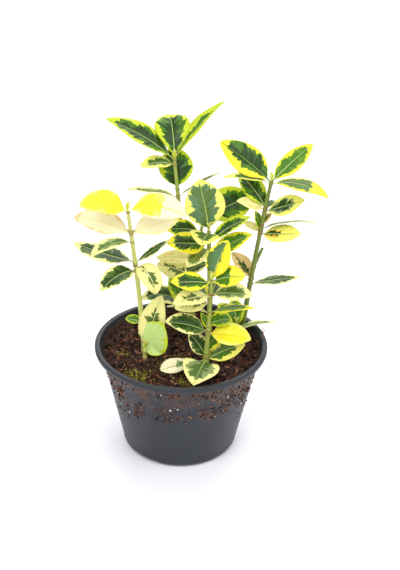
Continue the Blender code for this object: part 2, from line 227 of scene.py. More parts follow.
OLIVE_CREAM = Tint(Hue.OLIVE, Hue.ASH, Hue.CREAM, 0.6, 0.6, 0.9)
ASH_CREAM = Tint(Hue.ASH, Hue.ASH, Hue.CREAM, 0.75, 0.75, 0.9)
PEACH_DARK = Tint(Hue.DARK, Hue.OLIVE, Hue.PEACH, 0.34, 0.2, 0.85, Hue.OLIVE, 1.4)

SHOOTS = {
    "left": Shoot((-25, -6), (-0.065, 0.0), (-0.33, 0.0), 181, 2.0, 1.1, Hue.SHOOT_PALE),
    "front": Shoot((17, -22.5), (0.045, 0.0), (0.0, 0.0), 140, 1.9, 1.0, Hue.SHOOT_GREEN),
    "middle": Shoot((20, 8), (-0.03, 0.0), (0.0, 0.0), 161, 1.8, 1.1, Hue.SHOOT_GREEN),
    "inner": Shoot((9, 25), (-0.14, 0.0), (2.2, 0.0), 162, 1.6, 1.0, Hue.SHOOT_GREEN),
    "back": Shoot((6.5, 36), (-0.105, 0.0), (0.0, 0.0), 201, 1.9, 1.1, Hue.SHOOT_GREEN),
    "right": Shoot((43, 28), (0.10, -0.03), (0.25, 0.0), 191, 1.9, 1.2, Hue.SHOOT_OLIVE),
    "low_left": Shoot((-24.5, -15), (0.0, 0.1), (0.0, 0.0), 81, 1.5, 1.1, Hue.SHOOT_PALE),
    "low_right": Shoot((38.5, 19), (0.0, 0.0), (0.0, 0.0), 82, 1.3, 1.0, Hue.SHOOT_GREEN),
}

BARE_LIMBS = (
    "stem_left", "stem_front", "stem_middle", "stem_inner", "stem_back", "bough_back",
    "stem_right", "stem_low_left", "stem_low_right",
)

MASSES = {
    "mass_left_middle": ("left", (
        Leaf(97, 168, 5, 12, 8, GREEN_LIME),
        Leaf(137, 225, -8, 33, 16, DARK_CREAM, arch=60),
        Leaf(141, 318, -38, 27, 17, CREAM_GREEN, arch=100, turn=0.4),
        Leaf(143.5, 150, 1, 50, 17, DARK_CREAM, arch=-10, turn=0.3, fold=5),
        Leaf(143, 10, 34, 28, 11, DARK_CREAM, arch=5, turn=0.0, fold=4),
    )),
    "mass_left_top": ("left", (
        Leaf(158, 225, 3, 37, 13, GREY_CREAM, arch=50, turn=0.15),
        Leaf(164, 165, 9, 41, 18, IVORY_PEACH, arch=30, turn=0.8),
        Leaf(164, 22, 10, 34, 18, IVORY_OLIVE, arch=20, turn=0.7),
        Leaf(166, 90, -30, 24, 12, GREEN_YELLOW),
        Leaf(180, 200, 15, 35, 19, ALL_YELLOW, arch=60, turn=0.8),
        Leaf(181, 345, 2, 42, 20, YELLOW_IVORY, arch=60, turn=0.8),
    )),
    "mass_front_low": ("front", (
        Leaf(77.6, 255, -2, 31, 26, GREY_CREAM, arch=30, broad=0.35),
        Leaf(77.6, 196, -5, 32, 13, GREY_IVORY, arch=10, broad=0.7),
        Leaf(78, 12, 20, 29, 16, GREY_YELLOW, turn=0.8),
        Leaf(80.5, 162, 52, 21, 13, DARK_CREAM, turn=0.9),
        Leaf(84, 50, 40, 17, 11, GREEN_YELLOW),
        Leaf(99, 345, 1, 30, 18, ALL_YELLOW, turn=0.7),
        Leaf(100.5, 195, 21, 32, 17, DARK_CREAM, turn=0.6),
        Leaf(102, 150, 62, 13, 6, GREEN_LIME),
        Leaf(105, 20, 4, 18, 13, GREEN_LIME, arch=70),
    )),
    "mass_front_top": ("front", (
        Leaf(115, 165, 0, 30, 13, CREAM_PEACH, turn=-0.5),
        Leaf(115.5, 345, 16, 31, 13, GREEN_YELLOW, turn=-0.1, fold=5),
        Leaf(123, 188, -8, 24, 15, CREAM_GREEN, turn=0.6),
        Leaf(126, 80, 0, 24, 14, DARK_YELLOW),
        Leaf(128, 208, 2, 28, 15, CREAM_GREEN),
        Leaf(129.5, 350, 4, 28, 17, GREY_CREAM, turn=0.4),
        Leaf(138, 195, 7, 28, 16, DARK_YELLOW, arch=10, fold=10),
        Leaf(139, 350, 16, 23, 17, Tint(Hue.GREEN, Hue.GREEN, Hue.YELLOW, 0.7, 0.7, 0.6),
             turn=0.7),
        # The left half of this leaf is painted in the sheen green, a painted reflection of light on its
        # gloss
        Leaf(139.5, 41, 63, 29, 17,
             Tint(Hue.TEAL, Hue.GREY, Hue.YELLOW, 0.85, 0.06, 0.97, Hue.RIB), turn=0.8),
    )),
    "mass_middle": ("middle", (
        Leaf(136.5, 198, -18, 18, 12, DARK_CREAM, arch=40),
        Leaf(140, 15, 27, 34, 15, GREEN_YELLOW),
        Leaf(148, 225, -21, 22, 14, OLIVE_CREAM, arch=40),
        Leaf(151, 200, 10, 30, 18, DARK_YELLOW, arch=5, turn=0.7, fold=8),
        Leaf(152, 15, 30, 33, 12, DARK_LIME, turn=0.3),
        Leaf(159, 258, 8, 25, 22, GREY_YELLOW),
        # The band of this leaf is painted in the sheen green, a painted reflection of light on its gloss
        Leaf(160, 118, 62, 36, 28,
             Tint(Hue.GREY, Hue.TEAL, Hue.LEMON, 0.78, 0.66, 0.95, Hue.RIB, 1.2, 0.5),
             turn=0.8, fold=10),
    )),
    "mass_inner_low": ("inner", (
        Leaf(117, 168, 12, 27, 17, CREAM_GREEN, turn=0.9),
        Leaf(128.5, 182, 5, 27, 13, CREAM_PEACH),
    )),
    "mass_inner_top": ("inner", (
        Leaf(152, 186, 5, 25, 14, DARK_YELLOW, turn=0.7),
        Leaf(160, 25, 18, 40, 27, DARK_LIME, turn=0.9),
    )),
    "mass_back_low": ("back", (
        Leaf(82, 165, 6, 42, 17, DARK_CREAM, arch=100),
        Leaf(86, 157, 50, 26, 17, GREEN_LIME, turn=0.8),
        Leaf(91, 50, 10, 26, 16, DARK_LIME),
        Leaf(92, 110, 10, 17, 13, DARK_LIME),
    )),
    "mass_back_middle": ("back", (
        Leaf(172, 170, 4, 36, 13, OLIVE_CREAM, arch=15, turn=-0.15),
        Leaf(173, 10, 30, 33, 12, ASH_CREAM, arch=8, turn=-0.6),
        Leaf(178, 103, 60, 30, 24, DARK_LIME, turn=0.8, fold=10),
    )),
    "mass_back_top": ("back", (
        Leaf(196.5, 200, 3, 25, 13, GREY_YELLOW, arch=40, turn=0.45),
        Leaf(200, 182, 32, 54, 21, DARK_LIME, turn=0.4),
        Leaf(200, 100, 44, 36, 25, DARK_LIME, arch=80, turn=0.8, broad=0.6),
        Leaf(200, 15, 49, 52, 17, Tint(Hue.GREEN, Hue.GREEN, Hue.LIME, 0.35, 0.3, 0.85),
             fold=15, turn=0.0),
    )),
    "mass_right_low": ("right", (
        Leaf(111, 15, 2, 37, 11, DARK_CREAM, arch=5, turn=0.15, fold=4),
        Leaf(115, 152, 46, 23, 14, PEACH_DARK),
        Twig(124, 10, 68, 16, 1.1),
    )),
    "mass_right_top": ("right", (
        Leaf(151, 343, 9, 29, 17, Tint(Hue.DARK, Hue.ORANGE, Hue.LEMON, 0.5, 0.5, 0.55),
             arch=0, fold=8),
        Leaf(152, 160, 22, 14, 7, CREAM_PEACH),
        Leaf(153, 150, 70, 15, 7, GREEN_LIME),
        Leaf(154.5, 8, 4, 40, 10, ASH_CREAM, arch=40, turn=-0.4, fold=5),
        Leaf(158, 25, 45, 10, 6, PEACH_DARK),
        Leaf(168, 343, 25, 30, 17, Tint(Hue.DARK, Hue.ASH, Hue.LEMON, 0.6, 0.6, 0.8),
             arch=0, turn=0.6, fold=10),
        Leaf(169, 185, 20, 21, 11, CREAM_PEACH),
        Leaf(170, 80, -10, 24, 14, DARK_LIME),
        Leaf(171, 138, 36, 31, 16, DARK_LIME, turn=0.8),
        Leaf(189, 343, -6, 42, 17, Tint(Hue.GREY, Hue.GREEN, Hue.YELLOW, 0.74, 0.74, 0.72),
             arch=55, turn=0.1, fold=5),
        Leaf(189.5, 190, 10, 34, 12, GREY_YELLOW, turn=0.0),
        Leaf(190, 32, 33, 39, 15, GREEN_YELLOW, arch=10, turn=0.7, fold=5),
        Leaf(190, 158, 31, 44, 22,
             Tint(Hue.DARK, Hue.GREEN, Hue.YELLOW, 0.42, 0.88, 0.92, Hue.RIB_DARK),
             arch=15, turn=0.9),
    )),
    "mass_low_left": ("low_left", (
        Leaf(77.5, 345, 62, 29, 25, PALE_LIME, arch=10, turn=0.9, fold=5, broad=0.4),
        Leaf(78.5, 40, 70, 42, 19, CREAM_GREEN, arch=10, turn=0.8),
    )),
    "mass_low_right": ("low_right", (
        Leaf(78, 15, 4, 30, 10, ASH_CREAM, turn=-0.3),
        Leaf(79, 155, 48, 22, 15, DARK_LIME, turn=0.7),
        Leaf(80, 100, 58, 21, 13, GREEN_LIME, turn=0.7),
    )),
}


def linear(code: str) -> tuple[float, ...]:
    """Linear colour of an sRGB hex code.

    Args:
        code: Six hex digits after a hash sign.

    Returns:
        Red, green, blue and an alpha of 1.
    """
    parts = [int(code[start:start + 2], 16) / 255 for start in (1, 3, 5)]
    return (*[p / 12.92 if p <= 0.04045 else ((p + 0.055) / 1.055) ** 2.4 for p in parts], 1)


def add_node(material: bpy.types.Material, kind: str, links: dict | None = None,
             values: dict | None = None, **settings) -> bpy.types.Node:
    """Add a shader node with its settings, and link sockets into it.

    Args:
        material: The material whose tree takes the node.
        kind: The node's type, such as ShaderNodeTexNoise.
        links: Input name or number to the socket that feeds it.
        values: Input number to its value, where inputs share a name.
        **settings: Attributes, or input values where no attribute has that name.

    Returns:
        The new node.
    """
    made = material.node_tree.nodes.new(kind)
    for name, value in settings.items():
        if hasattr(made, name):
            setattr(made, name, value)
        else:
            made.inputs[name.replace("_", " ")].default_value = value
    for number, value in (values or {}).items():
        made.inputs[number].default_value = value
    for name, socket in (links or {}).items():
        material.node_tree.links.new(socket, made.inputs[name])
    return made


def new_material(name: str, roughness: float) -> tuple[bpy.types.Material, bpy.types.Node]:
    """Start a material.

    Args:
        name: The material's name.
        roughness: Roughness of its surface.

    Returns:
        The material and its shader.
    """
    made = bpy.data.materials.new(name)
    made.use_nodes = True
    shader = made.node_tree.nodes["Principled BSDF"]
    shader.inputs["Roughness"].default_value = roughness
    return made, shader


@dataclass(frozen=True)
class Skin:
    """Plainly coloured surface of one kind, which all its colours share.

    Relief is the height of its grain and grain the width, and gloss is the strength of the
    mirrored light, 0.5 for common plastics.
    """
    prefix: str
    relief: float
    grain: float
    gloss: float
    relief_strength: float = 0.5
    grain_detail: float = 2.0

    def make(self, hue: Enum) -> bpy.types.Material:
        """Make the material of one colour.

        Args:
            hue: Its sRGB hex code and its roughness.

        Returns:
            The material.
        """
        code, roughness = hue.value
        made, shader = new_material(f"{self.prefix}_{hue.name.lower()}", roughness)
        shader.inputs["Base Color"].default_value = linear(code)
        shader.inputs["Specular IOR Level"].default_value = self.gloss
        place = add_node(made, "ShaderNodeTexCoord").outputs["Object"]
        specks = add_node(made, "ShaderNodeTexNoise", {"Vector": place},
                          Scale=1 / (self.grain * MM), Detail=self.grain_detail)
        relief = add_node(made, "ShaderNodeBump", {"Height": specks.outputs["Fac"]},
                          Strength=self.relief_strength, Distance=self.relief * MM)
        made.node_tree.links.new(relief.outputs["Normal"], shader.inputs["Normal"])
        return made


# Waxy leaf and shoot skin. Its fine cells break up a soft shine, and they are drawn coarser
# than they are, because the real ones are too fine to show
WAXY_SKIN = Skin("leaf", relief=0.05, grain=0.7, gloss=0.32)
# Loose peat, fibre, chips and moss, which look dull and crumbly
LOOSE_PEAT = Skin("soil", relief=0.3, grain=0.5, gloss=0.2)


@dataclass
class Finishes:
    """The plainly coloured materials, each made once."""
    made: dict[Enum, bpy.types.Material] = field(default_factory=dict)

    def of(self, hue: Enum) -> bpy.types.Material:
        """Find the material of a colour, and make it where there is none yet.

        Args:
            hue: The leaf, shoot or soil colour.

        Returns:
            The material.
        """
        if hue not in self.made:
            skin = LOOSE_PEAT if isinstance(hue, Soil) else WAXY_SKIN
            self.made[hue] = skin.make(hue)
        return self.made[hue]


@dataclass(frozen=True)
class PotPlastic:
    """Moulded polypropylene, matt anthracite, with dried films of peat under the rim.

    The plastic looks dark and even from afar. Broad clouds keep it from looking flat, and
    the brown film thickens towards the rim and stops at the clean collar. The fine grain of
    the mould is drawn coarser than it is, so that it shows.
    """
    plastic: str = "#161a22"
    worn: str = "#252a35"
    dust: str = "#4a3024"
    roughness: float = 0.46
    cloud_size: float = 22.22
    cloud_detail: float = 5.0
    film_size: float = 9.09
    film_detail: float = 7.0
    film_roughness: float = 0.7
    film_low: float = 30.0
    film_high: float = 72.0
    film_gain: float = 0.26
    film_start: float = 0.64
    film_full: float = 0.76
    film_strength: float = 0.9
    clean_low: float = 74.0
    clean_high: float = 76.5
    clean_loss: float = -0.24
    grain: float = 0.5556
    grain_detail: float = 2.0
    grain_strength: float = 0.25
    grain_relief: float = 0.1

    def make(self) -> bpy.types.Material:
        """Make the material.

        Returns:
            The new material.
        """
        made, shader = new_material("pot_plastic_dusty", self.roughness)
        place = add_node(made, "ShaderNodeTexCoord").outputs["Object"]
        cloud = add_node(made, "ShaderNodeTexNoise", {"Vector": place},
                         Scale=1 / (self.cloud_size * MM), Detail=self.cloud_detail)
        tone = add_node(made, "ShaderNodeMix", {MIX_FACTOR: cloud.outputs["Fac"]},
                        {MIX_FIRST: linear(self.plastic), MIX_SECOND: linear(self.worn)},
                        data_type="RGBA")
        film = self.film_factor(made, place)
        full = add_node(made, "ShaderNodeMix", {MIX_FACTOR: film, MIX_FIRST: tone.outputs[MIX_RESULT]},
                        {MIX_SECOND: linear(self.dust)}, data_type="RGBA")
        made.node_tree.links.new(full.outputs[MIX_RESULT], shader.inputs["Base Color"])
        fine = add_node(made, "ShaderNodeTexNoise", {"Vector": place},
                        Scale=1 / (self.grain * MM), Detail=self.grain_detail)
        relief = add_node(made, "ShaderNodeBump", {"Height": fine.outputs["Fac"]},
                          Strength=self.grain_strength, Distance=self.grain_relief * MM)
        made.node_tree.links.new(relief.outputs["Normal"], shader.inputs["Normal"])
        return made

    def film_factor(self, made: bpy.types.Material, place: bpy.types.NodeSocket) -> bpy.types.NodeSocket:
        """Work out where the film of peat lies.

        Args:
            made: The material that takes the nodes.
            place: The socket of Object coordinates.

        Returns:
            The socket that says how full the film is.
        """
        split = add_node(made, "ShaderNodeSeparateXYZ", {"Vector": place})
        high = add_node(made, "ShaderNodeMapRange", {"Value": split.outputs["Z"]},
                        From_Min=self.film_low * MM, From_Max=self.film_high * MM,
                        To_Min=0.0, To_Max=self.film_gain)
        clean = add_node(made, "ShaderNodeMapRange", {"Value": split.outputs["Z"]},
                         From_Min=self.clean_low * MM, From_Max=self.clean_high * MM,
                         To_Min=0.0, To_Max=self.clean_loss)
        patch = add_node(made, "ShaderNodeTexNoise", {"Vector": place}, Scale=1 / (self.film_size * MM),
                         Detail=self.film_detail, Roughness=self.film_roughness)
        band = add_node(made, "ShaderNodeMath", {0: high.outputs["Result"], 1: clean.outputs["Result"]},
                        operation="ADD")
        film = add_node(made, "ShaderNodeMath", {0: patch.outputs["Fac"], 1: band.outputs[0]},
                        operation="ADD")
        edge = add_node(made, "ShaderNodeMapRange", {"Value": film.outputs[0]},
                        From_Min=self.film_start, From_Max=self.film_full,
                        To_Min=0.0, To_Max=self.film_strength)
        return edge.outputs["Result"]


@dataclass(frozen=True)
class PeatSoil:
    """Damp milled peat, mottled black to red-brown, which looks dark and deeply rough."""
    dark: str = "#140b07"
    light: str = "#4a2c1e"
    roughness: float = 0.95
    mottle_size: float = 2.381
    mottle_detail: float = 6.0
    mottle_roughness: float = 0.75
    mottle_start: float = 0.40
    mottle_full: float = 0.68
    relief: float = 1.2
    relief_strength: float = 1.0

    def make(self) -> bpy.types.Material:
        """Make the material.

        Returns:
            The new material.
        """
        made, shader = new_material("peat_soil", self.roughness)
        place = add_node(made, "ShaderNodeTexCoord").outputs["Object"]
        mottle = add_node(made, "ShaderNodeTexNoise", {"Vector": place},
                          Scale=1 / (self.mottle_size * MM), Detail=self.mottle_detail,
                          Roughness=self.mottle_roughness)
        edge = add_node(made, "ShaderNodeMapRange", {"Value": mottle.outputs["Fac"]},
                        From_Min=self.mottle_start, From_Max=self.mottle_full)
        tone = add_node(made, "ShaderNodeMix", {MIX_FACTOR: edge.outputs["Result"]},
                        {MIX_FIRST: linear(self.dark), MIX_SECOND: linear(self.light)},
                        data_type="RGBA")
        made.node_tree.links.new(tone.outputs[MIX_RESULT], shader.inputs["Base Color"])
        relief = add_node(made, "ShaderNodeBump", {"Height": mottle.outputs["Fac"]},
                          Strength=self.relief_strength, Distance=self.relief * MM)
        made.node_tree.links.new(relief.outputs["Normal"], shader.inputs["Normal"])
        return made


@dataclass(frozen=True)
class StudioFloor:
    """Pale painted board, even and nearly white."""
    colour: str = "#fbfbff"
    roughness: float = 0.7

    def make(self) -> bpy.types.Material:
        """Make the material.

        Returns:
            The new material.
        """
        made, shader = new_material("floor_pale", self.roughness)
        shader.inputs["Base Color"].default_value = linear(self.colour)
        return made


def settle_piece(made: bpy.types.Object, edge_angle: float = FLAT_ANGLE) -> None:
    """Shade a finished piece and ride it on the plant's body.

    Args:
        made: The piece.
        edge_angle: Edges that bend by more than this stay sharp.
    """
    made.data.update()
    made.data.shade_smooth()
    if edge_angle < FLAT_ANGLE:
        made.data.set_sharp_from_angle(angle=math.radians(edge_angle))
    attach(made, "root")
    LOG.info("%s: %d faces", made.name, len(made.data.polygons))


@dataclass
class MeshPool:
    """Many small shapes gathered into one mesh, each face with its own finish."""
    points: list[np.ndarray] = field(default_factory=list)
    faces: list[list[int]] = field(default_factory=list)
    hues: list[Enum] = field(default_factory=list)
    count: int = 0

    def add(self, points: np.ndarray, faces: np.ndarray, hues: list[Enum], caps: tuple = ()) -> None:
        """Take in one shape.

        Args:
            points: Its points in millimetres.
            faces: Its faces, all with the same number of corners.
            hues: A hue for each face.
            caps: Corners and hue of each many-sided face that closes it.
        """
        self.points.append(points)
        self.faces.extend((faces + self.count).tolist())
        self.hues.extend(hues)
        for corners, hue in caps:
            self.faces.append([corner + self.count for corner in corners])
            self.hues.append(hue)
        self.count += len(points)

    def build(self, name: str, finishes: Finishes, slot: str,
              edge_angle: float = FLAT_ANGLE) -> bpy.types.Object:
        """Make the piece.

        Args:
            name: The piece's name.
            finishes: Where its materials come from.
            slot: Not used.
            edge_angle: Edges that bend by more than this stay sharp.

        Returns:
            The object, riding on the plant's body.
        """
        mesh = bpy.data.meshes.new(name)
        mesh.from_pydata((np.concatenate(self.points) * MM).tolist(), [], self.faces)
        order = sorted(set(self.hues), key=lambda hue: hue.name)
        for hue in order:
            mesh.materials.append(finishes.of(hue))
        index = {hue: number for number, hue in enumerate(order)}
        mesh.polygons.foreach_set("material_index", [index[hue] for hue in self.hues])
        made = bpy.data.objects.new(name, mesh)
        bpy.context.scene.collection.objects.link(made)
        settle_piece(made, edge_angle)
        return made


@dataclass
class LeafMaker:
    """Works out the mesh of one leaf: folded, veined and toothed, with its colour zones.

    Each half has cells across it from midrib to edge: one of rib, then the zones' own. The
    ripples that make the zones' edges uneven are each the turns along the leaf and a height.
    """
    leaf: Leaf
    base: np.ndarray
    seed: int
    rows: int = 84
    midrib_steps: int = 240
    zone_cells: tuple[int, int, int] = (3, 2, 3)
    thick: float = 0.42
    edge_thinning: float = 0.6
    fullness: float = 0.72
    tip_half_width: float = 0.15
    rib_half_width: float = 0.42
    rib_range: tuple[float, float] = (0.01, 0.6)
    rib_start: float = 1.15
    rib_taper: float = 0.8
    fade_share: float = 0.22
    base_share: float = 0.2
    base_green: float = 0.75
    green_limit: float = 0.95
    green_least: float = 0.012
    band_ragged: float = 2.4
    band_range: tuple[float, float] = (0.12, 0.92)
    ripples: tuple = ((1.7, 0.10), (4.3, 0.075), (8.1, 0.055), (14.3, 0.04), (23.0, 0.03))
    jitter: float = 0.03
    jitter_limit: float = 1.5
    slant: float = 0.36
    slant_limit: float = 0.24
    slant_start: float = 0.12
    roll_share: float = 0.3
    tooth_step: float = 1.9
    tooth_depth: float = 0.42
    tooth_least: int = 10
    toothed: tuple[float, float] = (0.2, 0.98)
    edge_curl: float = 0.10
    wave_turns: float = 1.6
    wave_depth: float = 0.022
    vein_step: float = 4.4
    vein_lag: float = 0.9
    vein_depth: float = 0.42
    groove_half_width: float = 0.9
    groove_depth: float = 0.35
    rib_drop: float = 0.2
    relief_share: float = 0.15

    def __post_init__(self) -> None:
        """Seed the draws and space the rows."""
        self.draw = np.random.default_rng(self.seed)
        self.share = np.linspace(0, 1, self.rows + 1)

    def directions(self, share: np.ndarray) -> tuple[np.ndarray, np.ndarray, np.ndarray]:
        """Work out how the blade lies.

        Args:
            share: Shares of its length.

        Returns:
            Directions along it, across it and out of it there.
        """
        leaf = self.leaf
        heading = math.radians(leaf.heading)
        climb = np.radians(leaf.rise + leaf.arch / 2 - leaf.arch * share)[:, None]
        flat = np.array([math.cos(heading), math.sin(heading), 0])
        along = flat * np.cos(climb) + UP * np.sin(climb)
        across = np.array([-math.sin(heading), math.cos(heading), 0])
        out = np.cross(along, across)
        to_light = np.arctan2(-(across @ LIGHT), out @ LIGHT)
        roll = (leaf.turn * to_light * np.minimum(1, share / self.roll_share))[:, None]
        rolled = across * np.cos(roll) + out * np.sin(roll)
        return along, rolled, np.cross(along, rolled)

    def frames(self, share: np.ndarray) -> tuple[np.ndarray, ...]:
        """Find places on the midrib.

        Args:
            share: Shares of the blade's length, in an array of any form.

        Returns:
            The midrib's points and the directions across and out there.
        """
        fine = np.linspace(0, 1, self.midrib_steps + 1)
        along, across, out = self.directions(fine)
        steps = (along[:-1] + along[1:]) / 2 * self.leaf.length / self.midrib_steps
        rib = self.base + np.concatenate([np.zeros((1, 3)), np.cumsum(steps, 0)])
        return tuple(np.stack([np.interp(share, fine, values[:, axis]) for axis in range(3)], -1)
                     for values in (rib, across, out))

    def half_widths(self, share: np.ndarray) -> np.ndarray:
        """Work out half widths, from the stalk to the bluntly pointed tip.

        Args:
            share: Shares of the blade's length.

        Returns:
            Half the blade's width there.
        """
        along = np.clip((share - PETIOLE_SHARE) / (1 - PETIOLE_SHARE), 0, 1)
        skew = math.log(0.5) / math.log(self.leaf.broad)
        swell = np.clip(np.sin(math.pi * along ** skew), 0, 1) ** self.fullness
        least = PETIOLE_HALF_WIDTH * (1 - along) + self.tip_half_width * along
        return np.maximum(self.leaf.width / 2 * swell, least)

    def wander(self, size: float) -> np.ndarray:
        """Draw an uneven run of values along the leaf, about nought.

        Args:
            size: How far they stray, 1 for the common leaf.

        Returns:
            A value for each row.
        """
        total = np.zeros_like(self.share)
        for turns, height in self.ripples:
            phase = self.draw.uniform(0, 2 * math.pi)
            total += height * np.sin(2 * math.pi * turns * self.share + phase)
        jitter = self.draw.normal(size=len(total)).clip(-self.jitter_limit, self.jitter_limit)
        total += self.jitter * jitter
        return total * size

    def columns(self, half: np.ndarray, green: float) -> list[np.ndarray]:
        """Place the ends of the cells across one half.

        Args:
            half: Half width at each row.
            green: The share of the half that is green.

        Returns:
            For each cell, the share of the half's width where it ends, at each row.
        """
        tint, share = self.leaf.tint, self.share
        narrowed = self.rib_start - self.rib_taper * share
        rib = np.clip(self.rib_half_width / half * narrowed, *self.rib_range)
        fade = np.clip((tint.tip - share) / self.fade_share, 0, 1)
        fade = fade * fade * (3 - 2 * fade)
        grown = self.base_green + (1 - self.base_green) * np.minimum(1, share / self.base_share)
        outer = green * fade * grown + self.wander(tint.ragged) * np.minimum(1, fade * 2)
        outer = np.maximum(np.clip(outer, 0, self.green_limit), rib + self.green_least)
        split = np.clip(tint.split + self.wander(self.band_ragged), *self.band_range)
        inner = rib + (outer - rib) * split
        found = [rib]
        ends = (rib, inner, outer, np.ones_like(share))
        for start, end, cells in zip(ends[:-1], ends[1:], self.zone_cells):
            found += [start + (end - start) * step / cells for step in range(1, cells + 1)]
        return found

    def slanted(self, reach: np.ndarray) -> np.ndarray:
        """Slant the rows forwards like side veins, so the zones' edges feather that way.

        Args:
            reach: How far across each point lies.

        Returns:
            The share of the blade's length of each point.
        """
        slant = min(self.slant * self.leaf.width / self.leaf.length, self.slant_limit)
        run = np.clip((self.share - self.slant_start) / (1 - self.slant_start), 0, 1)
        middle = np.sin(math.pi * run)
        return self.share[:, None] + slant * reach * middle[:, None]

    def teeth(self, share: np.ndarray) -> np.ndarray:
        """Work out how far the toothed edge stands out of its smooth line.

        Args:
            share: Shares of the blade's length.

        Returns:
            The distance there, about nought.
        """
        count = max(self.tooth_least, round(self.leaf.length / self.tooth_step))
        start, end = self.toothed
        saw = np.where((share > start) & (share < end), (share * count) % 1 - 0.5, 0)
        return saw * self.tooth_depth

    def relief(self, share: np.ndarray, sides: np.ndarray, half: np.ndarray) -> np.ndarray:
        """Work out the relief of the blade: curled edge, waves, veins and sunken midrib.

        Args:
            share: Share of the blade's length of each point.
            sides: Where each point lies across, from -1 to 1.
            half: Half the blade's width there.

        Returns:
            The height of each point over the folded blade.
        """
        leaf, reach = self.leaf, np.abs(sides)
        phase = self.draw.uniform(0, 2 * math.pi, 2)
        wave = np.sin(2 * math.pi * self.wave_turns * share + phase[0] + phase[1] * (sides > 0))
        run = share * leaf.length - reach * half * self.vein_lag
        veins = np.sin(2 * math.pi * run / self.vein_step)
        body = np.minimum(1, (share - PETIOLE_SHARE) / self.relief_share).clip(0, 1)
        flank = np.minimum(1, reach * half / self.groove_half_width)
        height = wave * reach ** 2 * self.wave_depth * leaf.width
        height += veins * reach * (1 - reach) * self.vein_depth
        height += self.groove_depth * flank - self.rib_drop
        return body * height - self.edge_curl * half * reach ** 2

    def blade(self) -> tuple[np.ndarray, np.ndarray, np.ndarray]:
        """Lay out the upper face.

        Returns:
            Its points by row and column, the way out of the blade at each, and how far
            across each one lies, nought at the midrib and one at the edge.
        """
        tint = self.leaf.tint
        half = self.half_widths(self.share)
        left, right = self.columns(half, tint.left), self.columns(half, tint.right)
        sides = np.stack([*[-column for column in right[::-1]], 0 * self.share, *left], 1)
        reach = np.abs(sides)
        share = self.slanted(reach)
        half = self.half_widths(share)
        rib, across, out = self.frames(share)
        at_edge = reach > 0.999
        width = half * sides + np.sign(sides) * self.teeth(share) * at_edge
        lift = np.radians(self.leaf.fold) * np.minimum(1, share / PETIOLE_SHARE / 2)
        height = np.abs(width) * np.sin(lift) + self.relief(share, sides, half)
        rows = rib + across * (width * np.cos(lift))[..., None]
        return rows + out * height[..., None], out, reach

    def face_hues(self, cells: int, rims: int) -> list[Hue]:
        """Give each face its hue.

        Args:
            cells: How many cells a row has.
            rims: How many faces the rim has.

        Returns:
            The hues of the upper face, the underside and the rim.
        """
        tint = self.leaf.tint
        zones = [tint.rib]
        for hue, count in zip((tint.core, tint.band, tint.margin), self.zone_cells):
            zones += [hue] * count
        stalk = round(PETIOLE_SHARE * self.rows) + 1
        upper = [tint.rib] * (stalk * cells) + (zones[::-1] + zones) * (self.rows - stalk)
        lower = [Hue.UNDER if hue in GREENS else hue for hue in upper]
        return upper + lower + [tint.margin] * rims

    def add_to(self, pool: MeshPool) -> None:
        """Put the leaf's upper face, underside and rim in a pool.

        Args:
            pool: Where it goes.
        """
        top, out, reach = self.blade()
        under = top - out * (self.thick * (1 - self.edge_thinning * reach ** 2))[..., None]
        index = np.arange(reach.size).reshape(reach.shape)
        quads = np.stack([index[:-1, :-1], index[1:, :-1], index[1:, 1:], index[:-1, 1:]], -1)
        lower = quads[..., ::-1] + index.size
        rims = []
        for edge in (index[::-1, 0], index[0, :], index[:, -1], index[-1, ::-1]):
            corners = [edge[:-1], edge[1:], edge[1:] + index.size, edge[:-1] + index.size]
            rims.append(np.stack(corners, -1))
        rim = np.concatenate(rims)
        faces = np.concatenate([quads.reshape(-1, 4), lower.reshape(-1, 4), rim])
        points = np.concatenate([top.reshape(-1, 3), under.reshape(-1, 3)])
        pool.add(points, faces, self.face_hues(quads.shape[1], len(rim)))


def tube_faces(rings: int, sides: int) -> np.ndarray:
    """Join rings of points with quads, which face outwards when the rings go up.

    Args:
        rings: How many rings there are.
        sides: How many points each has.

    Returns:
        The corners of each quad.
    """
    index = np.arange(rings * sides).reshape(rings, sides)
    after = np.roll(index, -1, 1)
    return np.stack([index[:-1], after[:-1], after[1:], index[1:]], -1).reshape(-1, 4)


def tube_caps(rings: int, sides: int, hue: Enum) -> tuple:
    """Corners and hue of the two faces that close a tube of rings."""
    last = (rings - 1) * sides
    return (range(sides - 1, -1, -1), hue), (range(last, last + sides), hue)


def circle(sides: int) -> np.ndarray:
    """Angles of evenly spaced points round a circle."""
    return np.linspace(0, 2 * math.pi, sides, endpoint=False)


def around(radius: float, angle: float, height: float) -> np.ndarray:
    """Point at a distance from the pot's axis, an angle round it and a height."""
    return np.array([radius * math.cos(angle), radius * math.sin(angle), height])


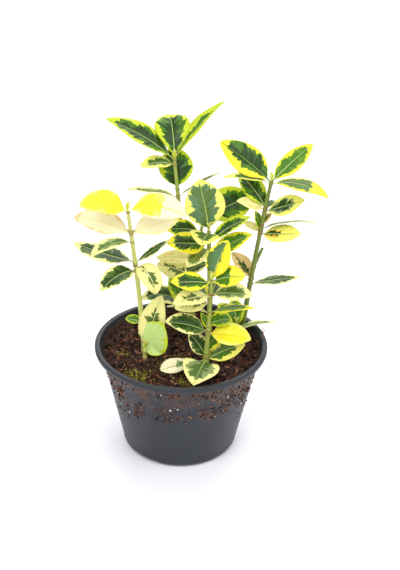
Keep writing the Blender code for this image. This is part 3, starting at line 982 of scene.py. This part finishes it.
@dataclass
class StemMaker:
    """Works out the skin of a whole shoot with its nodes, ridges and flared foot.

    Nodes are the heights where leaves and twigs leave it.
    """
    shoot: Shoot
    nodes: np.ndarray
    sides: int = 20
    step: float = 0.6
    sunk: float = 1.2
    overrun: float = 0.9
    tip_length: float = 1.2
    tip_least: float = 0.25
    node_swell: float = 0.24
    node_length: float = 1.1
    foot_flare: float = 0.4
    foot_length: float = 1.3
    ridges: int = 4
    ridge_depth: float = 0.035
    grain_depth: float = 0.07
    grain_round: float = 2.0
    grain_up: float = 0.35
    scar: tuple[float, float] = (0.25, 0.75)
    brown_foot: float = 2.0

    def radius(self, height: float, low: float, near: float) -> float:
        """Work out the mean radius of the skin.

        Args:
            height: Height above the pot's underside.
            low: Height where the skin starts in the peat.
            near: Distance to the nearest node.

        Returns:
            The radius, swollen at nodes, flared at the foot and rounded off at the tip.
        """
        swell = self.node_swell * math.exp(-((near / self.node_length) ** 2))
        size = self.shoot.thickness(height) * (1 + swell)
        size *= 1 + self.foot_flare * math.exp(-max(height - low - self.sunk, 0) / self.foot_length)
        left = self.shoot.top + self.overrun - height
        return size * min(1, self.tip_least + left / self.tip_length)

    def add_to(self, pool: MeshPool) -> None:
        """Put the shoot's skin in a pool.

        Args:
            pool: Where it goes.
        """
        shoot, turn = self.shoot, circle(self.sides)
        foot = shoot.place(PEAT_EDGE_HEIGHT)
        low = peat_height(math.hypot(foot[0], foot[1])) - self.sunk
        rings, hues = [], []
        for height in np.arange(low, shoot.top + self.overrun, self.step):
            near = np.min(np.abs(self.nodes - height))
            row = height * self.grain_up + foot[0]
            grain = [noise.noise((math.cos(t) * self.grain_round, math.sin(t) * self.grain_round, row))
                     for t in turn]
            uneven = self.ridge_depth * np.cos(self.ridges * turn) + self.grain_depth * np.array(grain)
            ridge = self.radius(height, low, near) * (1 + uneven)
            ring = np.stack([np.cos(turn) * ridge, np.sin(turn) * ridge, 0 * turn], 1)
            rings.append(ring + shoot.place(height))
            scarred = self.scar[0] < near < self.scar[1] or height < low + self.brown_foot
            hues += [Hue.NODE if scarred else shoot.hue] * self.sides
        faces = tube_faces(len(rings), self.sides)
        caps = tube_caps(len(rings), self.sides, shoot.hue)
        pool.add(np.concatenate(rings), faces, hues[:len(faces)], caps)


def add_rod(pool: MeshPool, points: np.ndarray, radii: list[float], sides: int,
            hue: Enum, end: Enum) -> None:
    """Put a closed rod in a pool.

    Args:
        pool: Where it goes.
        points: The points that its middle runs through.
        radii: Its radius at each.
        sides: How many sides it has.
        hue: The hue of its side.
        end: The hue of its two ends.
    """
    turn = circle(sides)
    rings = []
    for number, (point, radius) in enumerate(zip(points, radii)):
        ahead = points[min(number + 1, len(points) - 1)] - points[max(number - 1, 0)]
        ahead = ahead / np.linalg.norm(ahead)
        side = np.cross(ahead, UP if abs(ahead[2]) < 0.9 else SIDEWAYS)
        side /= np.linalg.norm(side)
        other = np.cross(ahead, side)
        rings.append(point + radius * (np.outer(np.cos(turn), side) + np.outer(np.sin(turn), other)))
    faces = tube_faces(len(rings), sides)
    caps = tube_caps(len(rings), sides, end)
    pool.add(np.concatenate(rings), faces, [hue] * len(faces), caps)


@dataclass
class TwigMaker:
    """Works out a short pruned twig with a dark cut."""
    twig: Twig
    base: np.ndarray
    hue: Hue
    stations: int = 14
    sides: int = 12
    foot_swell: float = 1.2
    taper: float = 0.25
    uneven: float = 0.06
    bumps: float = 19.0

    def add_to(self, pool: MeshPool) -> None:
        """Put the twig in a pool.

        Args:
            pool: Where it goes.
        """
        twig = self.twig
        heading, climb = math.radians(twig.heading), math.radians(twig.rise)
        along = around(math.cos(climb), heading, math.sin(climb))
        points, radii = [], []
        for share in np.linspace(0, 1, self.stations):
            bump = self.uneven * math.sin(share * self.bumps)
            points.append(self.base + along * (twig.length * share))
            radii.append(twig.radius * (self.foot_swell - self.taper * share + bump))
        add_rod(pool, np.array(points), radii, self.sides, self.hue, Hue.CUT)


def peat_height(radius: float) -> float:
    """Height of the slightly mounded peat at a distance from the pot's axis."""
    drop = PEAT_CENTRE_HEIGHT - PEAT_EDGE_HEIGHT
    return PEAT_CENTRE_HEIGHT - drop * (radius / WALL_RADIUS_HIGH) ** 2


def wall_radius(height: float) -> float:
    """Outer radius of the pot's wall, which tapers evenly above its rounded foot."""
    low, high = FOOT_ROUND, POT_HEIGHT - COLLAR_HEIGHT
    return WALL_RADIUS_LOW + (WALL_RADIUS_HIGH - WALL_RADIUS_LOW) * (height - low) / (high - low)


def turned_piece(name: str, profile: list[tuple[float, float]], segments: int,
                 material: bpy.types.Material) -> bpy.types.Object:
    """Draw a closed round body out of a disc, ring after ring.

    Args:
        name: The piece's name.
        profile: Radius and height of each ring, from one closed end round to the other.
        segments: How many columns go round.
        material: Its material.

    Returns:
        The object, its faces outwards.
    """
    radius, height = profile[0]
    bpy.ops.object.select_all(action="DESELECT")
    bpy.ops.mesh.primitive_circle_add(vertices=segments, radius=radius * MM, fill_type="NGON")
    made = bpy.context.object
    bpy.ops.object.mode_set(mode="EDIT")
    bpy.ops.transform.translate(value=(0, 0, height * MM))
    for wide, high in profile[1:]:
        rise = (0, 0, (high - height) * MM)
        bpy.ops.mesh.extrude_region_move(TRANSFORM_OT_translate={"value": rise})
        spread = (wide / radius, wide / radius, 1)
        bpy.ops.transform.resize(value=spread, center_override=(0, 0, 0))
        radius, height = wide, high
    bpy.ops.mesh.select_all(action="SELECT")
    bpy.ops.mesh.normals_make_consistent(inside=False)
    bpy.ops.object.mode_set(mode="OBJECT")
    made.name = made.data.name = name
    made.data.materials.append(material)
    return made


@dataclass
class Pot:
    """The thin nursery pot with its rolled collar, rounded foot and drain notches."""
    segments: int = 192
    floor: tuple = ((31.0, 1.5), (37.5, 3.0), (39.4, 5.8))
    inner_rings: tuple = (16, 28, 40, 52, 64, 71)
    lip_inside: tuple = ((-0.7, -2.4), (0.0, -0.7), (0.3, -0.2), (0.9, 0.0))
    lip_outside: tuple = ((-1.1, 0.0), (-0.4, -0.25), (0.0, -1.0))
    collar_edge: tuple = ((0.0, 0.8), (-0.25, 0.2), (-0.9, 0.0), (-3.6, 0.0))
    neck_drop: float = 0.7
    outer_rings: tuple = (66, 58, 50, 42, 34, 26, 18, 11, 5)
    foot_width: float = 4.5
    foot_steps: int = 6
    underside: tuple = ((34.0, 0.0), (33.5, 0.0), (20.0, 0.0))
    notch_headings: tuple = (231.0, 351.0, 111.0)
    notch_span: float = 34.0
    notch_height: float = 2.8
    notch_inner_radius: float = 33.7
    edge_angle: float = 50.0

    def profile(self) -> list[tuple[float, float]]:
        """Draw the section from the inside floor up, over the lip and down to the underside.

        Returns:
            Radius and height of each ring.
        """
        low = POT_HEIGHT - COLLAR_HEIGHT
        found = list(self.floor)
        found += [(wall_radius(height) - WALL, height) for height in self.inner_rings]
        for radius, height, bends in ((RIM_RADIUS - COLLAR_WIDTH, POT_HEIGHT, self.lip_inside),
                                      (RIM_RADIUS, POT_HEIGHT, self.lip_outside),
                                      (RIM_RADIUS, low, self.collar_edge)):
            found += [(radius + across, height + up) for across, up in bends]
        found.append((WALL_RADIUS_HIGH, low - self.neck_drop))
        found += [(wall_radius(height), height) for height in self.outer_rings]
        for step in range(1, self.foot_steps + 1):
            angle = math.radians(90 * step / self.foot_steps)
            radius = WALL_RADIUS_LOW - self.foot_width + self.foot_width * math.cos(angle)
            found.append((radius, FOOT_ROUND - FOOT_ROUND * math.sin(angle)))
        return found + list(self.underside)

    def cut_notches(self, made: bpy.types.Object) -> None:
        """Raise the underside's edge where the drain notches are.

        Args:
            made: The pot.
        """
        for vertex in made.data.vertices:
            across, back, high = vertex.co / MM
            heading = math.degrees(math.atan2(back, across))
            off = min(abs((heading - centre + 180) % 360 - 180) for centre in self.notch_headings)
            outside = math.hypot(across, back) > self.notch_inner_radius
            if outside and off < self.notch_span / 2 and high < self.notch_height:
                vertex.co.z = self.notch_height * MM

    def build(self) -> None:
        """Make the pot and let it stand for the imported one."""
        made = turned_piece("pot_shell", self.profile(), self.segments, PotPlastic().make())
        self.cut_notches(made)
        settle_piece(made, self.edge_angle)
        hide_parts("pot")


@dataclass(frozen=True)
class PeatTop:
    """The lie of the rough top of the peat.

    Relief is its height. A pitch is how many cells of noise there are to a millimetre, a row
    is where the noise is cut, and a share is that noise's part of the relief.
    """
    relief: float = 1.5
    sink: float = 0.4
    rough_pitch: float = 0.10
    rough_row: float = 3.1
    rough_share: float = 0.7
    fineness: float = 0.6
    step_ratio: float = 2.3
    octaves: int = 5
    lump_pitch: float = 0.45
    lump_row: float = 7.7
    lump_share: float = 0.45

    def height(self, across: float, back: float) -> float:
        """Find the top of the peat.

        Args:
            across: Distance right of the pot's axis.
            back: Distance behind it.

        Returns:
            The height there.
        """
        rough_place = (across * self.rough_pitch, back * self.rough_pitch, self.rough_row)
        rough = noise.fractal(rough_place, self.fineness, self.step_ratio, self.octaves)
        lumps = noise.noise((across * self.lump_pitch, back * self.lump_pitch, self.lump_row))
        uneven = self.relief * (self.rough_share * rough + self.lump_share * lumps)
        return peat_height(math.hypot(across, back)) + uneven - self.sink


@dataclass(frozen=True)
class LooseBits:
    """One kind of loose bits, such as crumbs or tufts.

    Bits are least to most in size, small ones more common the higher the power is. Width,
    height and lift are shares of the size, raised is how far all of them lie higher than
    that, and mix says how common each colour is.
    """
    least: float
    most: float
    height: float
    mix: dict[Soil, float]
    width: float = 1.0
    power: int = 1
    lift: float = 0.0
    raised: float = 0.0

    def sizes(self, size: float) -> tuple[float, float, float]:
        """Length, width and height of a bit, as half sizes."""
        return size, size * self.width, size * self.height

    def rise(self, size: float) -> float:
        """How far the middle of a bit lies over what bears it."""
        return size * self.lift + self.raised


CRUMB = LooseBits(
    least=0.35, most=2.05, power=3, height=0.55, lift=0.3,
    mix={Soil.BLACK: 0.30, Soil.DARK: 0.28, Soil.BROWN: 0.22, Soil.RUST: 0.13, Soil.FIBRE: 0.07})
SPECK = LooseBits(
    least=0.15, most=0.42, width=0.8, height=0.6, raised=0.5,
    mix={Soil.SPECK: 0.5, Soil.TAN: 0.5})
CHIP = LooseBits(
    least=1.2, most=2.6, width=0.45, height=0.2, raised=0.3,
    mix={Soil.BROWN: 0.5, Soil.RUST: 0.35, Soil.FIBRE: 0.15})
TUFT = LooseBits(
    least=0.3, most=0.8, width=0.6, height=0.9, lift=0.5, raised=0.5,
    mix={Soil.MOSS: 0.55, Soil.MOSS_LIGHT: 0.3, Soil.BROWN: 0.15})
WALL_CRUMB = LooseBits(
    least=0.14, most=1.09, power=5, width=0.8, height=0.6, lift=0.15,
    mix={Soil.DARK: 0.20, Soil.BROWN: 0.38, Soil.RUST: 0.26, Soil.FIBRE: 0.10, Soil.TAN: 0.04,
         Soil.SPECK: 0.02})
RIM_CRUMB = LooseBits(
    least=0.25, most=0.85, power=3, width=0.7, height=0.5, lift=0.1,
    mix={Soil.BROWN: 0.6, Soil.RUST: 0.4})
FIBRE_MIX = {Soil.RUST: 0.35, Soil.FIBRE: 0.35, Soil.TAN: 0.1, Soil.BROWN: 0.2}


@dataclass(frozen=True)
class MossCushion:
    """A small cushion of moss: its middle, its width and how many tufts it has."""
    across: float
    back: float
    width: float
    tufts: int


@dataclass(frozen=True)
class WallPatches:
    """A group of patches of peat stuck to the pot's wall.

    Heading and height are each the group's middle and its patches' spread about it, and for
    strewn patches the range they lie in. Spread and drop are how far a patch's crumbs stray
    round and down the wall.
    """
    patches: int
    heading: tuple[float, float]
    height: tuple[float, float]
    spread: float
    drop: float
    crumbs: int


@dataclass
class Peat:
    """The peat fill: a rough closed body with loose crumbs, fibres, chips and moss."""
    finishes: Finishes
    top: PeatTop = PeatTop()
    seed: int = 11
    segments: int = 300
    ring_step: float = 0.8
    ring_count: int = 68
    flat_depth: float = 0.1
    below: tuple = ((53.9, 70.0), (53.2, 66.0), (40.0, 6.5), (32.0, 1.8))
    scatter_radius: float = 53.0
    inside_radius: float = 52.5
    edge_angle: float = 50.0
    crumb_edge_angle: float = 40.0
    crumb_uneven: tuple[float, float] = (0.65, 1.2)
    crumb_widths: tuple[float, float] = (0.5, 1.0)
    crumbs: int = 3400
    specks: int = 230
    fibres: int = 260
    fibre_stations: tuple = (0.5, 0.9, 1, 1, 0.8, 0.4)
    fibre_sides: int = 5
    fibre_lengths: tuple[float, float] = (3.0, 10.0)
    fibre_radii: tuple[float, float] = (0.12, 0.3)
    fibre_bend: float = 0.8
    fibre_rest: float = 0.35
    fibre_hump: float = 0.5
    chips: int = 90
    chip_inset: float = 0.96
    dry_twigs: tuple = (((54, 5, 73), (57.5, 7, 79), (56.5, 9, 86)),
                        ((53, 9, 73), (57, 12, 78), (58.5, 13, 82)))
    dry_twig_radii: tuple = (0.4, 0.35, 0.2)
    dry_twig_sides: int = 6
    cushions: tuple = (MossCushion(-29, -37, 12, 420), MossCushion(-1, -22, 14, 560),
                       MossCushion(4, -42, 9, 180), MossCushion(-40, -8, 6, 60))
    cushion_across: float = 0.45
    cushion_back: float = 0.36
    collar_patches: WallPatches = WallPatches(45, (0, 6), (70, 1.5), 5, 2.2, 34)
    strewn_patches: WallPatches = WallPatches(60, (0, 360), (36, 68), 5, 4, 34)
    wall_patches: tuple = (WallPatches(9, (215, 9), (64, 6), 3.5, 3, 50),
                           WallPatches(14, (325, 10), (60, 7), 4, 3, 50),
                           WallPatches(7, (240, 10), (49, 3), 3, 2.5, 44),
                           WallPatches(8, (288, 12), (50, 3), 3.5, 2.5, 44))
    wall_span: tuple[float, float] = (8.0, 74.0)
    rim_crumbs: int = 60
    rim_band: tuple[float, float] = (56.4, 59.4)

    def __post_init__(self) -> None:
        """Seed the draws."""
        self.draw = np.random.default_rng(self.seed)

    def build_body(self) -> None:
        """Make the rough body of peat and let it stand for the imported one."""
        flat = PEAT_CENTRE_HEIGHT
        profile = [(self.ring_step * step, flat) for step in range(1, self.ring_count + 1)]
        made = turned_piece("peat_body", profile + list(self.below), self.segments, PeatSoil().make())
        for vertex in made.data.vertices:
            across, back, high = vertex.co / MM
            if high > flat - self.flat_depth:
                vertex.co.z = self.top.height(across, back) * MM
        settle_piece(made, self.edge_angle)
        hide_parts("peat")

    def add_crumb(self, pool: MeshPool, place: np.ndarray, sizes: tuple[float, ...], hue: Soil) -> None:
        """Put one uneven crumb in a pool, turned at random.

        Args:
            pool: Where it goes.
            place: Its middle.
            sizes: Its three half sizes.
            hue: Its colour.
        """
        turn = np.linalg.qr(self.draw.normal(size=(3, 3)))[0]
        if np.linalg.det(turn) < 0:
            turn[:, 0] *= -1
        uneven = BALL * self.draw.uniform(*self.crumb_uneven, (len(BALL), 1))
        pool.add((uneven * sizes) @ turn.T + place, BALL_FACES, [hue] * len(BALL_FACES))

    def pick(self, mix: dict[Soil, float]) -> Soil:
        """Draw one soil colour by its share in a mix."""
        return list(mix)[int(self.draw.choice(len(mix), p=list(mix.values())))]

    def draw_size(self, kind: LooseBits) -> float:
        """Draw the size of one bit of a kind."""
        return kind.least + (kind.most - kind.least) * self.draw.uniform() ** kind.power

    def spot(self) -> tuple[float, float]:
        """Draw a place on the peat, evenly over its area.

        Returns:
            How far right of the pot's axis it lies, and how far behind it.
        """
        radius = self.scatter_radius * math.sqrt(self.draw.uniform())
        turn = self.draw.uniform(0, 2 * math.pi)
        return radius * math.cos(turn), radius * math.sin(turn)

    def kept_inside(self, across: float, back: float) -> tuple[float, float]:
        """Place moved towards the axis where it would reach past the pot's wall."""
        limit = min(1, self.inside_radius / max(math.hypot(across, back), 1))
        return across * limit, back * limit

    def on_top(self, across: float, back: float, lift: float) -> np.ndarray:
        """Point at a height over the top of the peat."""
        return np.array([across, back, self.top.height(across, back) + lift])

    def build_crumbs(self) -> None:
        """Scatter crumbs and pale specks over the peat."""
        pool = MeshPool()
        for _ in range(self.crumbs):
            spot, size = self.spot(), self.draw_size(CRUMB)
            hue = self.pick(CRUMB.mix)
            long, wide, high = CRUMB.sizes(size)
            sizes = (long, wide * self.draw.uniform(*self.crumb_widths), high)
            self.add_crumb(pool, self.on_top(*spot, CRUMB.rise(size)), sizes, hue)
        for _ in range(self.specks):
            spot, size = self.spot(), self.draw_size(SPECK)
            place, hue = self.on_top(*spot, SPECK.rise(size)), self.pick(SPECK.mix)
            self.add_crumb(pool, place, SPECK.sizes(size), hue)
        pool.build("peat_crumbs", self.finishes, "peat", self.crumb_edge_angle)

    def add_fibre(self, pool: MeshPool) -> None:
        """Lay one thin bent fibre on the peat.

        Args:
            pool: Where it goes.
        """
        across, back = self.spot()
        length = self.draw.uniform(*self.fibre_lengths)
        heading = self.draw.uniform(0, 2 * math.pi)
        bend = self.draw.uniform(-self.fibre_bend, self.fibre_bend)
        points = []
        for share in np.linspace(-0.5, 0.5, len(self.fibre_stations)):
            angle, reach = heading + bend * share, length * share
            spot = self.kept_inside(across + reach * math.cos(angle), back + reach * math.sin(angle))
            hump = self.fibre_hump * (0.25 - share * share)
            points.append(self.on_top(*spot, self.fibre_rest + hump))
        radius = self.draw.uniform(*self.fibre_radii)
        radii = [radius * part for part in self.fibre_stations]
        hue = self.pick(FIBRE_MIX)
        add_rod(pool, np.array(points), radii, self.fibre_sides, hue, hue)

    def build_fibres(self) -> None:
        """Lay fibres and bark chips on the peat, and two dry twigs over the rim."""
        pool = MeshPool()
        for _ in range(self.fibres):
            self.add_fibre(pool)
        for _ in range(self.chips):
            across, back = self.spot()
            size = self.draw_size(CHIP)
            hue = self.pick(CHIP.mix)
            place = self.on_top(across, back, CHIP.rise(size))
            place[:2] *= self.chip_inset
            self.add_crumb(pool, place, CHIP.sizes(size), hue)
        for points in self.dry_twigs:
            add_rod(pool, np.array(points, float), self.dry_twig_radii, self.dry_twig_sides,
                    Soil.FIBRE, Soil.RUST)
        pool.build("peat_fibres", self.finishes, "peat", self.crumb_edge_angle)

    def build_moss(self) -> None:
        """Grow small cushions of moss on the peat."""
        pool = MeshPool()
        for cushion in self.cushions:
            for _ in range(cushion.tufts):
                across = cushion.across + self.draw.normal() * cushion.width * self.cushion_across
                back = cushion.back + self.draw.normal() * cushion.width * self.cushion_back
                size = self.draw_size(TUFT)
                hue = self.pick(TUFT.mix)
                place = self.on_top(*self.kept_inside(across, back), TUFT.rise(size))
                self.add_crumb(pool, place, TUFT.sizes(size), hue)
        pool.build("peat_moss", self.finishes, "peat", self.crumb_edge_angle)

    def draw_patches(self) -> list[tuple[float, float, WallPatches]]:
        """Draw where peat sticks to the wall: under the collar, all over, and in groups.

        Returns:
            Heading, height and group of each patch.
        """
        collar, strewn, found = self.collar_patches, self.strewn_patches, []
        for number in range(collar.patches):
            heading = 360 * number / collar.patches + self.draw.normal(*collar.heading)
            found.append((heading, self.draw.normal(*collar.height), collar))
        for _ in range(strewn.patches):
            heading = self.draw.uniform(*strewn.heading)
            found.append((heading, self.draw.uniform(*strewn.height), strewn))
        for group in self.wall_patches:
            found += [(self.draw.normal(*group.heading), self.draw.normal(*group.height), group)
                      for _ in range(group.patches)]
        return found

    def build_wall_crumbs(self) -> None:
        """Stick crumbs of peat to the outside of the pot and to its rim."""
        pool = MeshPool()
        lowest, highest = self.wall_span
        for heading, height, group in self.draw_patches():
            for _ in range(group.crumbs):
                angle = math.radians(heading + self.draw.normal() * group.spread)
                level = min(highest, height + self.draw.normal() * group.drop)
                size = self.draw_size(WALL_CRUMB)
                radius = wall_radius(max(level, lowest)) + WALL_CRUMB.rise(size)
                hue = self.pick(WALL_CRUMB.mix)
                self.add_crumb(pool, around(radius, angle, level), WALL_CRUMB.sizes(size), hue)
        for _ in range(self.rim_crumbs):
            angle = self.draw.uniform(0, 2 * math.pi)
            size = self.draw_size(RIM_CRUMB)
            radius = self.draw.uniform(*self.rim_band)
            place = around(radius, angle, POT_HEIGHT + RIM_CRUMB.rise(size))
            hue = self.pick(RIM_CRUMB.mix)
            self.add_crumb(pool, place, RIM_CRUMB.sizes(size), hue)
        pool.build("wall_crumbs", self.finishes, "peat", self.crumb_edge_angle)

    def build(self) -> None:
        """Make the peat and all that lies on it, in the order of its draws."""
        self.build_body()
        self.build_crumbs()
        self.build_fibres()
        self.build_moss()
        self.build_wall_crumbs()


@dataclass
class Plant:
    """The shoots with their leaves, and a pair of young bud leaves at each growing tip."""
    finishes: Finishes
    bark_edge_angle: float = 60.0
    mass_seed: int = 100
    bud_seed: int = 9000
    bud_reach: float = 6.0
    bud_length: float = 6.5
    bud_width: float = 3.4
    bud_rise: float = 74.0
    bud_fold: float = 30.0
    bud_tint: Tint = Tint(Hue.LIME, Hue.LIME, Hue.CREAM, 0.7, 0.7, 0.9, Hue.LIME)

    def add_buds(self, pool: MeshPool, shoot: Shoot, heading: float, seed: int) -> None:
        """Put a shoot's pair of bud leaves in a pool.

        Args:
            pool: Where they go.
            shoot: The shoot that bears them.
            heading: Heading of its last leaf, which they stand across.
            seed: Their seed, before their own turn is added.
        """
        for side in (90, 270):
            bud = Leaf(shoot.top, heading + side, self.bud_rise, self.bud_length, self.bud_width,
                       self.bud_tint, fold=self.bud_fold, turn=0.0)
            LeafMaker(bud, shoot.place(shoot.top), seed + side).add_to(pool)

    def build_leaves(self) -> None:
        """Make the leaves of each mass as one piece that stands for the mass."""
        for number, (mass, (shoot_name, parts)) in enumerate(MASSES.items()):
            shoot, pool = SHOOTS[shoot_name], MeshPool()
            for index, part in enumerate(parts):
                if isinstance(part, Leaf):
                    seed = self.mass_seed * number + index
                    LeafMaker(part, shoot.place(part.height), seed).add_to(pool)
            highest = max(parts, key=lambda part: part.height)
            if highest.height > shoot.top - self.bud_reach:
                self.add_buds(pool, shoot, highest.heading, self.bud_seed + number)
            made = pool.build(mass.replace("mass", "leaves"), self.finishes, "foliage")
            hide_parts(mass)

    def build_stems(self) -> None:
        """Make the skin of every shoot as one piece that stands for the bare limbs."""
        pool = MeshPool()
        for name, shoot in SHOOTS.items():
            parts = [part for owner, parts in MASSES.values() if owner == name for part in parts]
            StemMaker(shoot, np.array([part.height for part in parts])).add_to(pool)
            for part in parts:
                if isinstance(part, Twig):
                    TwigMaker(part, shoot.place(part.height), shoot.hue).add_to(pool)
        made = pool.build("shoot_bark", self.finishes, "bark", self.bark_edge_angle)
        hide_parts(*BARE_LIMBS)

    def build(self) -> None:
        """Make the whole plant above the peat."""
        self.build_stems()
        self.build_leaves()


@dataclass(frozen=True)
class Lamp:
    """A soft square light: its place and size in metres, and its power in watts."""
    name: str
    place: tuple[float, float, float]
    size: float
    power: float

    def build(self, target: tuple[float, float, float]) -> None:
        """Hang the lamp.

        Args:
            target: The point that it faces.
        """
        data = bpy.data.lights.new(self.name, "AREA")
        data.size = self.size
        data.energy = self.power
        made = bpy.data.objects.new(self.name, data)
        bpy.context.scene.collection.objects.link(made)
        made.location = self.place
        towards = Vector(target) - Vector(self.place)
        made.rotation_euler = towards.to_track_quat("-Z", "Y").to_euler()


@dataclass(frozen=True)
class StudioCamera:
    """The camera, found from the rim's ellipse: pitch and roll in degrees, place in metres."""
    pitch: float = 28.8
    roll: float = 1.3
    place: tuple[float, float, float] = (0.0122, -0.7364, 0.5286)
    lens: float = 78.25
    sensor: float = 36.0

    def build(self) -> None:
        """Make the camera and look through it."""
        pitch, roll = math.radians(self.pitch), math.radians(self.roll)
        ahead = np.array([0, math.cos(pitch), -math.sin(pitch)])
        up = np.array([0, math.sin(pitch), math.cos(pitch)])
        turned_right = math.cos(roll) * SIDEWAYS + math.sin(roll) * up
        turned_up = -math.sin(roll) * SIDEWAYS + math.cos(roll) * up
        data = bpy.data.cameras.new("camera")
        data.lens = self.lens
        data.sensor_fit = "VERTICAL"
        data.sensor_height = self.sensor
        made = bpy.data.objects.new("camera", data)
        bpy.context.scene.collection.objects.link(made)
        columns = np.stack([turned_right, turned_up, -ahead], 1)
        made.matrix_world = Matrix.Translation(self.place) @ Matrix(columns.tolist()).to_4x4()
        bpy.context.scene.camera = made


@dataclass
class Studio:
    """Pale floor, soft lights, even white surroundings and the camera."""
    floor_size: float = 6.0
    floor_drop: float = 0.1
    lamps: tuple[Lamp, ...] = (Lamp("key", (-0.5, -0.9, 1.3), 0.9, 11.0),
                               Lamp("fill", (0.9, -0.6, 1.2), 1.2, 9.0),
                               Lamp("back", (0.1, 1.2, 1.5), 1.6, 18.0))
    lamp_target: tuple[float, float, float] = (0, 0, 0.12)
    surround: float = 0.68

    def add_floor(self) -> None:
        """Lay a plain pale floor just under the pot."""
        bpy.ops.object.select_all(action="DESELECT")
        bpy.ops.mesh.primitive_plane_add(size=self.floor_size, location=(0, 0, -self.floor_drop * MM))
        floor = bpy.context.object
        floor.name = "floor"
        floor.data.materials.append(StudioFloor().make())

    def add_surroundings(self) -> None:
        """Surround the scene with even white light."""
        world = bpy.data.worlds.new("studio")
        world.use_nodes = True
        background = world.node_tree.nodes["Background"]
        background.inputs["Color"].default_value = (1, 1, 1, 1)
        background.inputs["Strength"].default_value = self.surround
        bpy.context.scene.world = world
        bpy.context.scene.view_settings.view_transform = "Standard"

    def build(self) -> None:
        """Make the floor, the lights, the surroundings and the camera."""
        self.add_floor()
        for lamp in self.lamps:
            lamp.build(self.lamp_target)
        self.add_surroundings()
        StudioCamera().build()


def main() -> None:
    """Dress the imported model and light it."""
    logging.basicConfig(level=logging.INFO, format="%(name)s: %(message)s")
    finishes = Finishes()
    Studio().build()
    Pot().build()
    Peat(finishes).build()
    Plant(finishes).build()


if __name__ == "__main__":
    main()
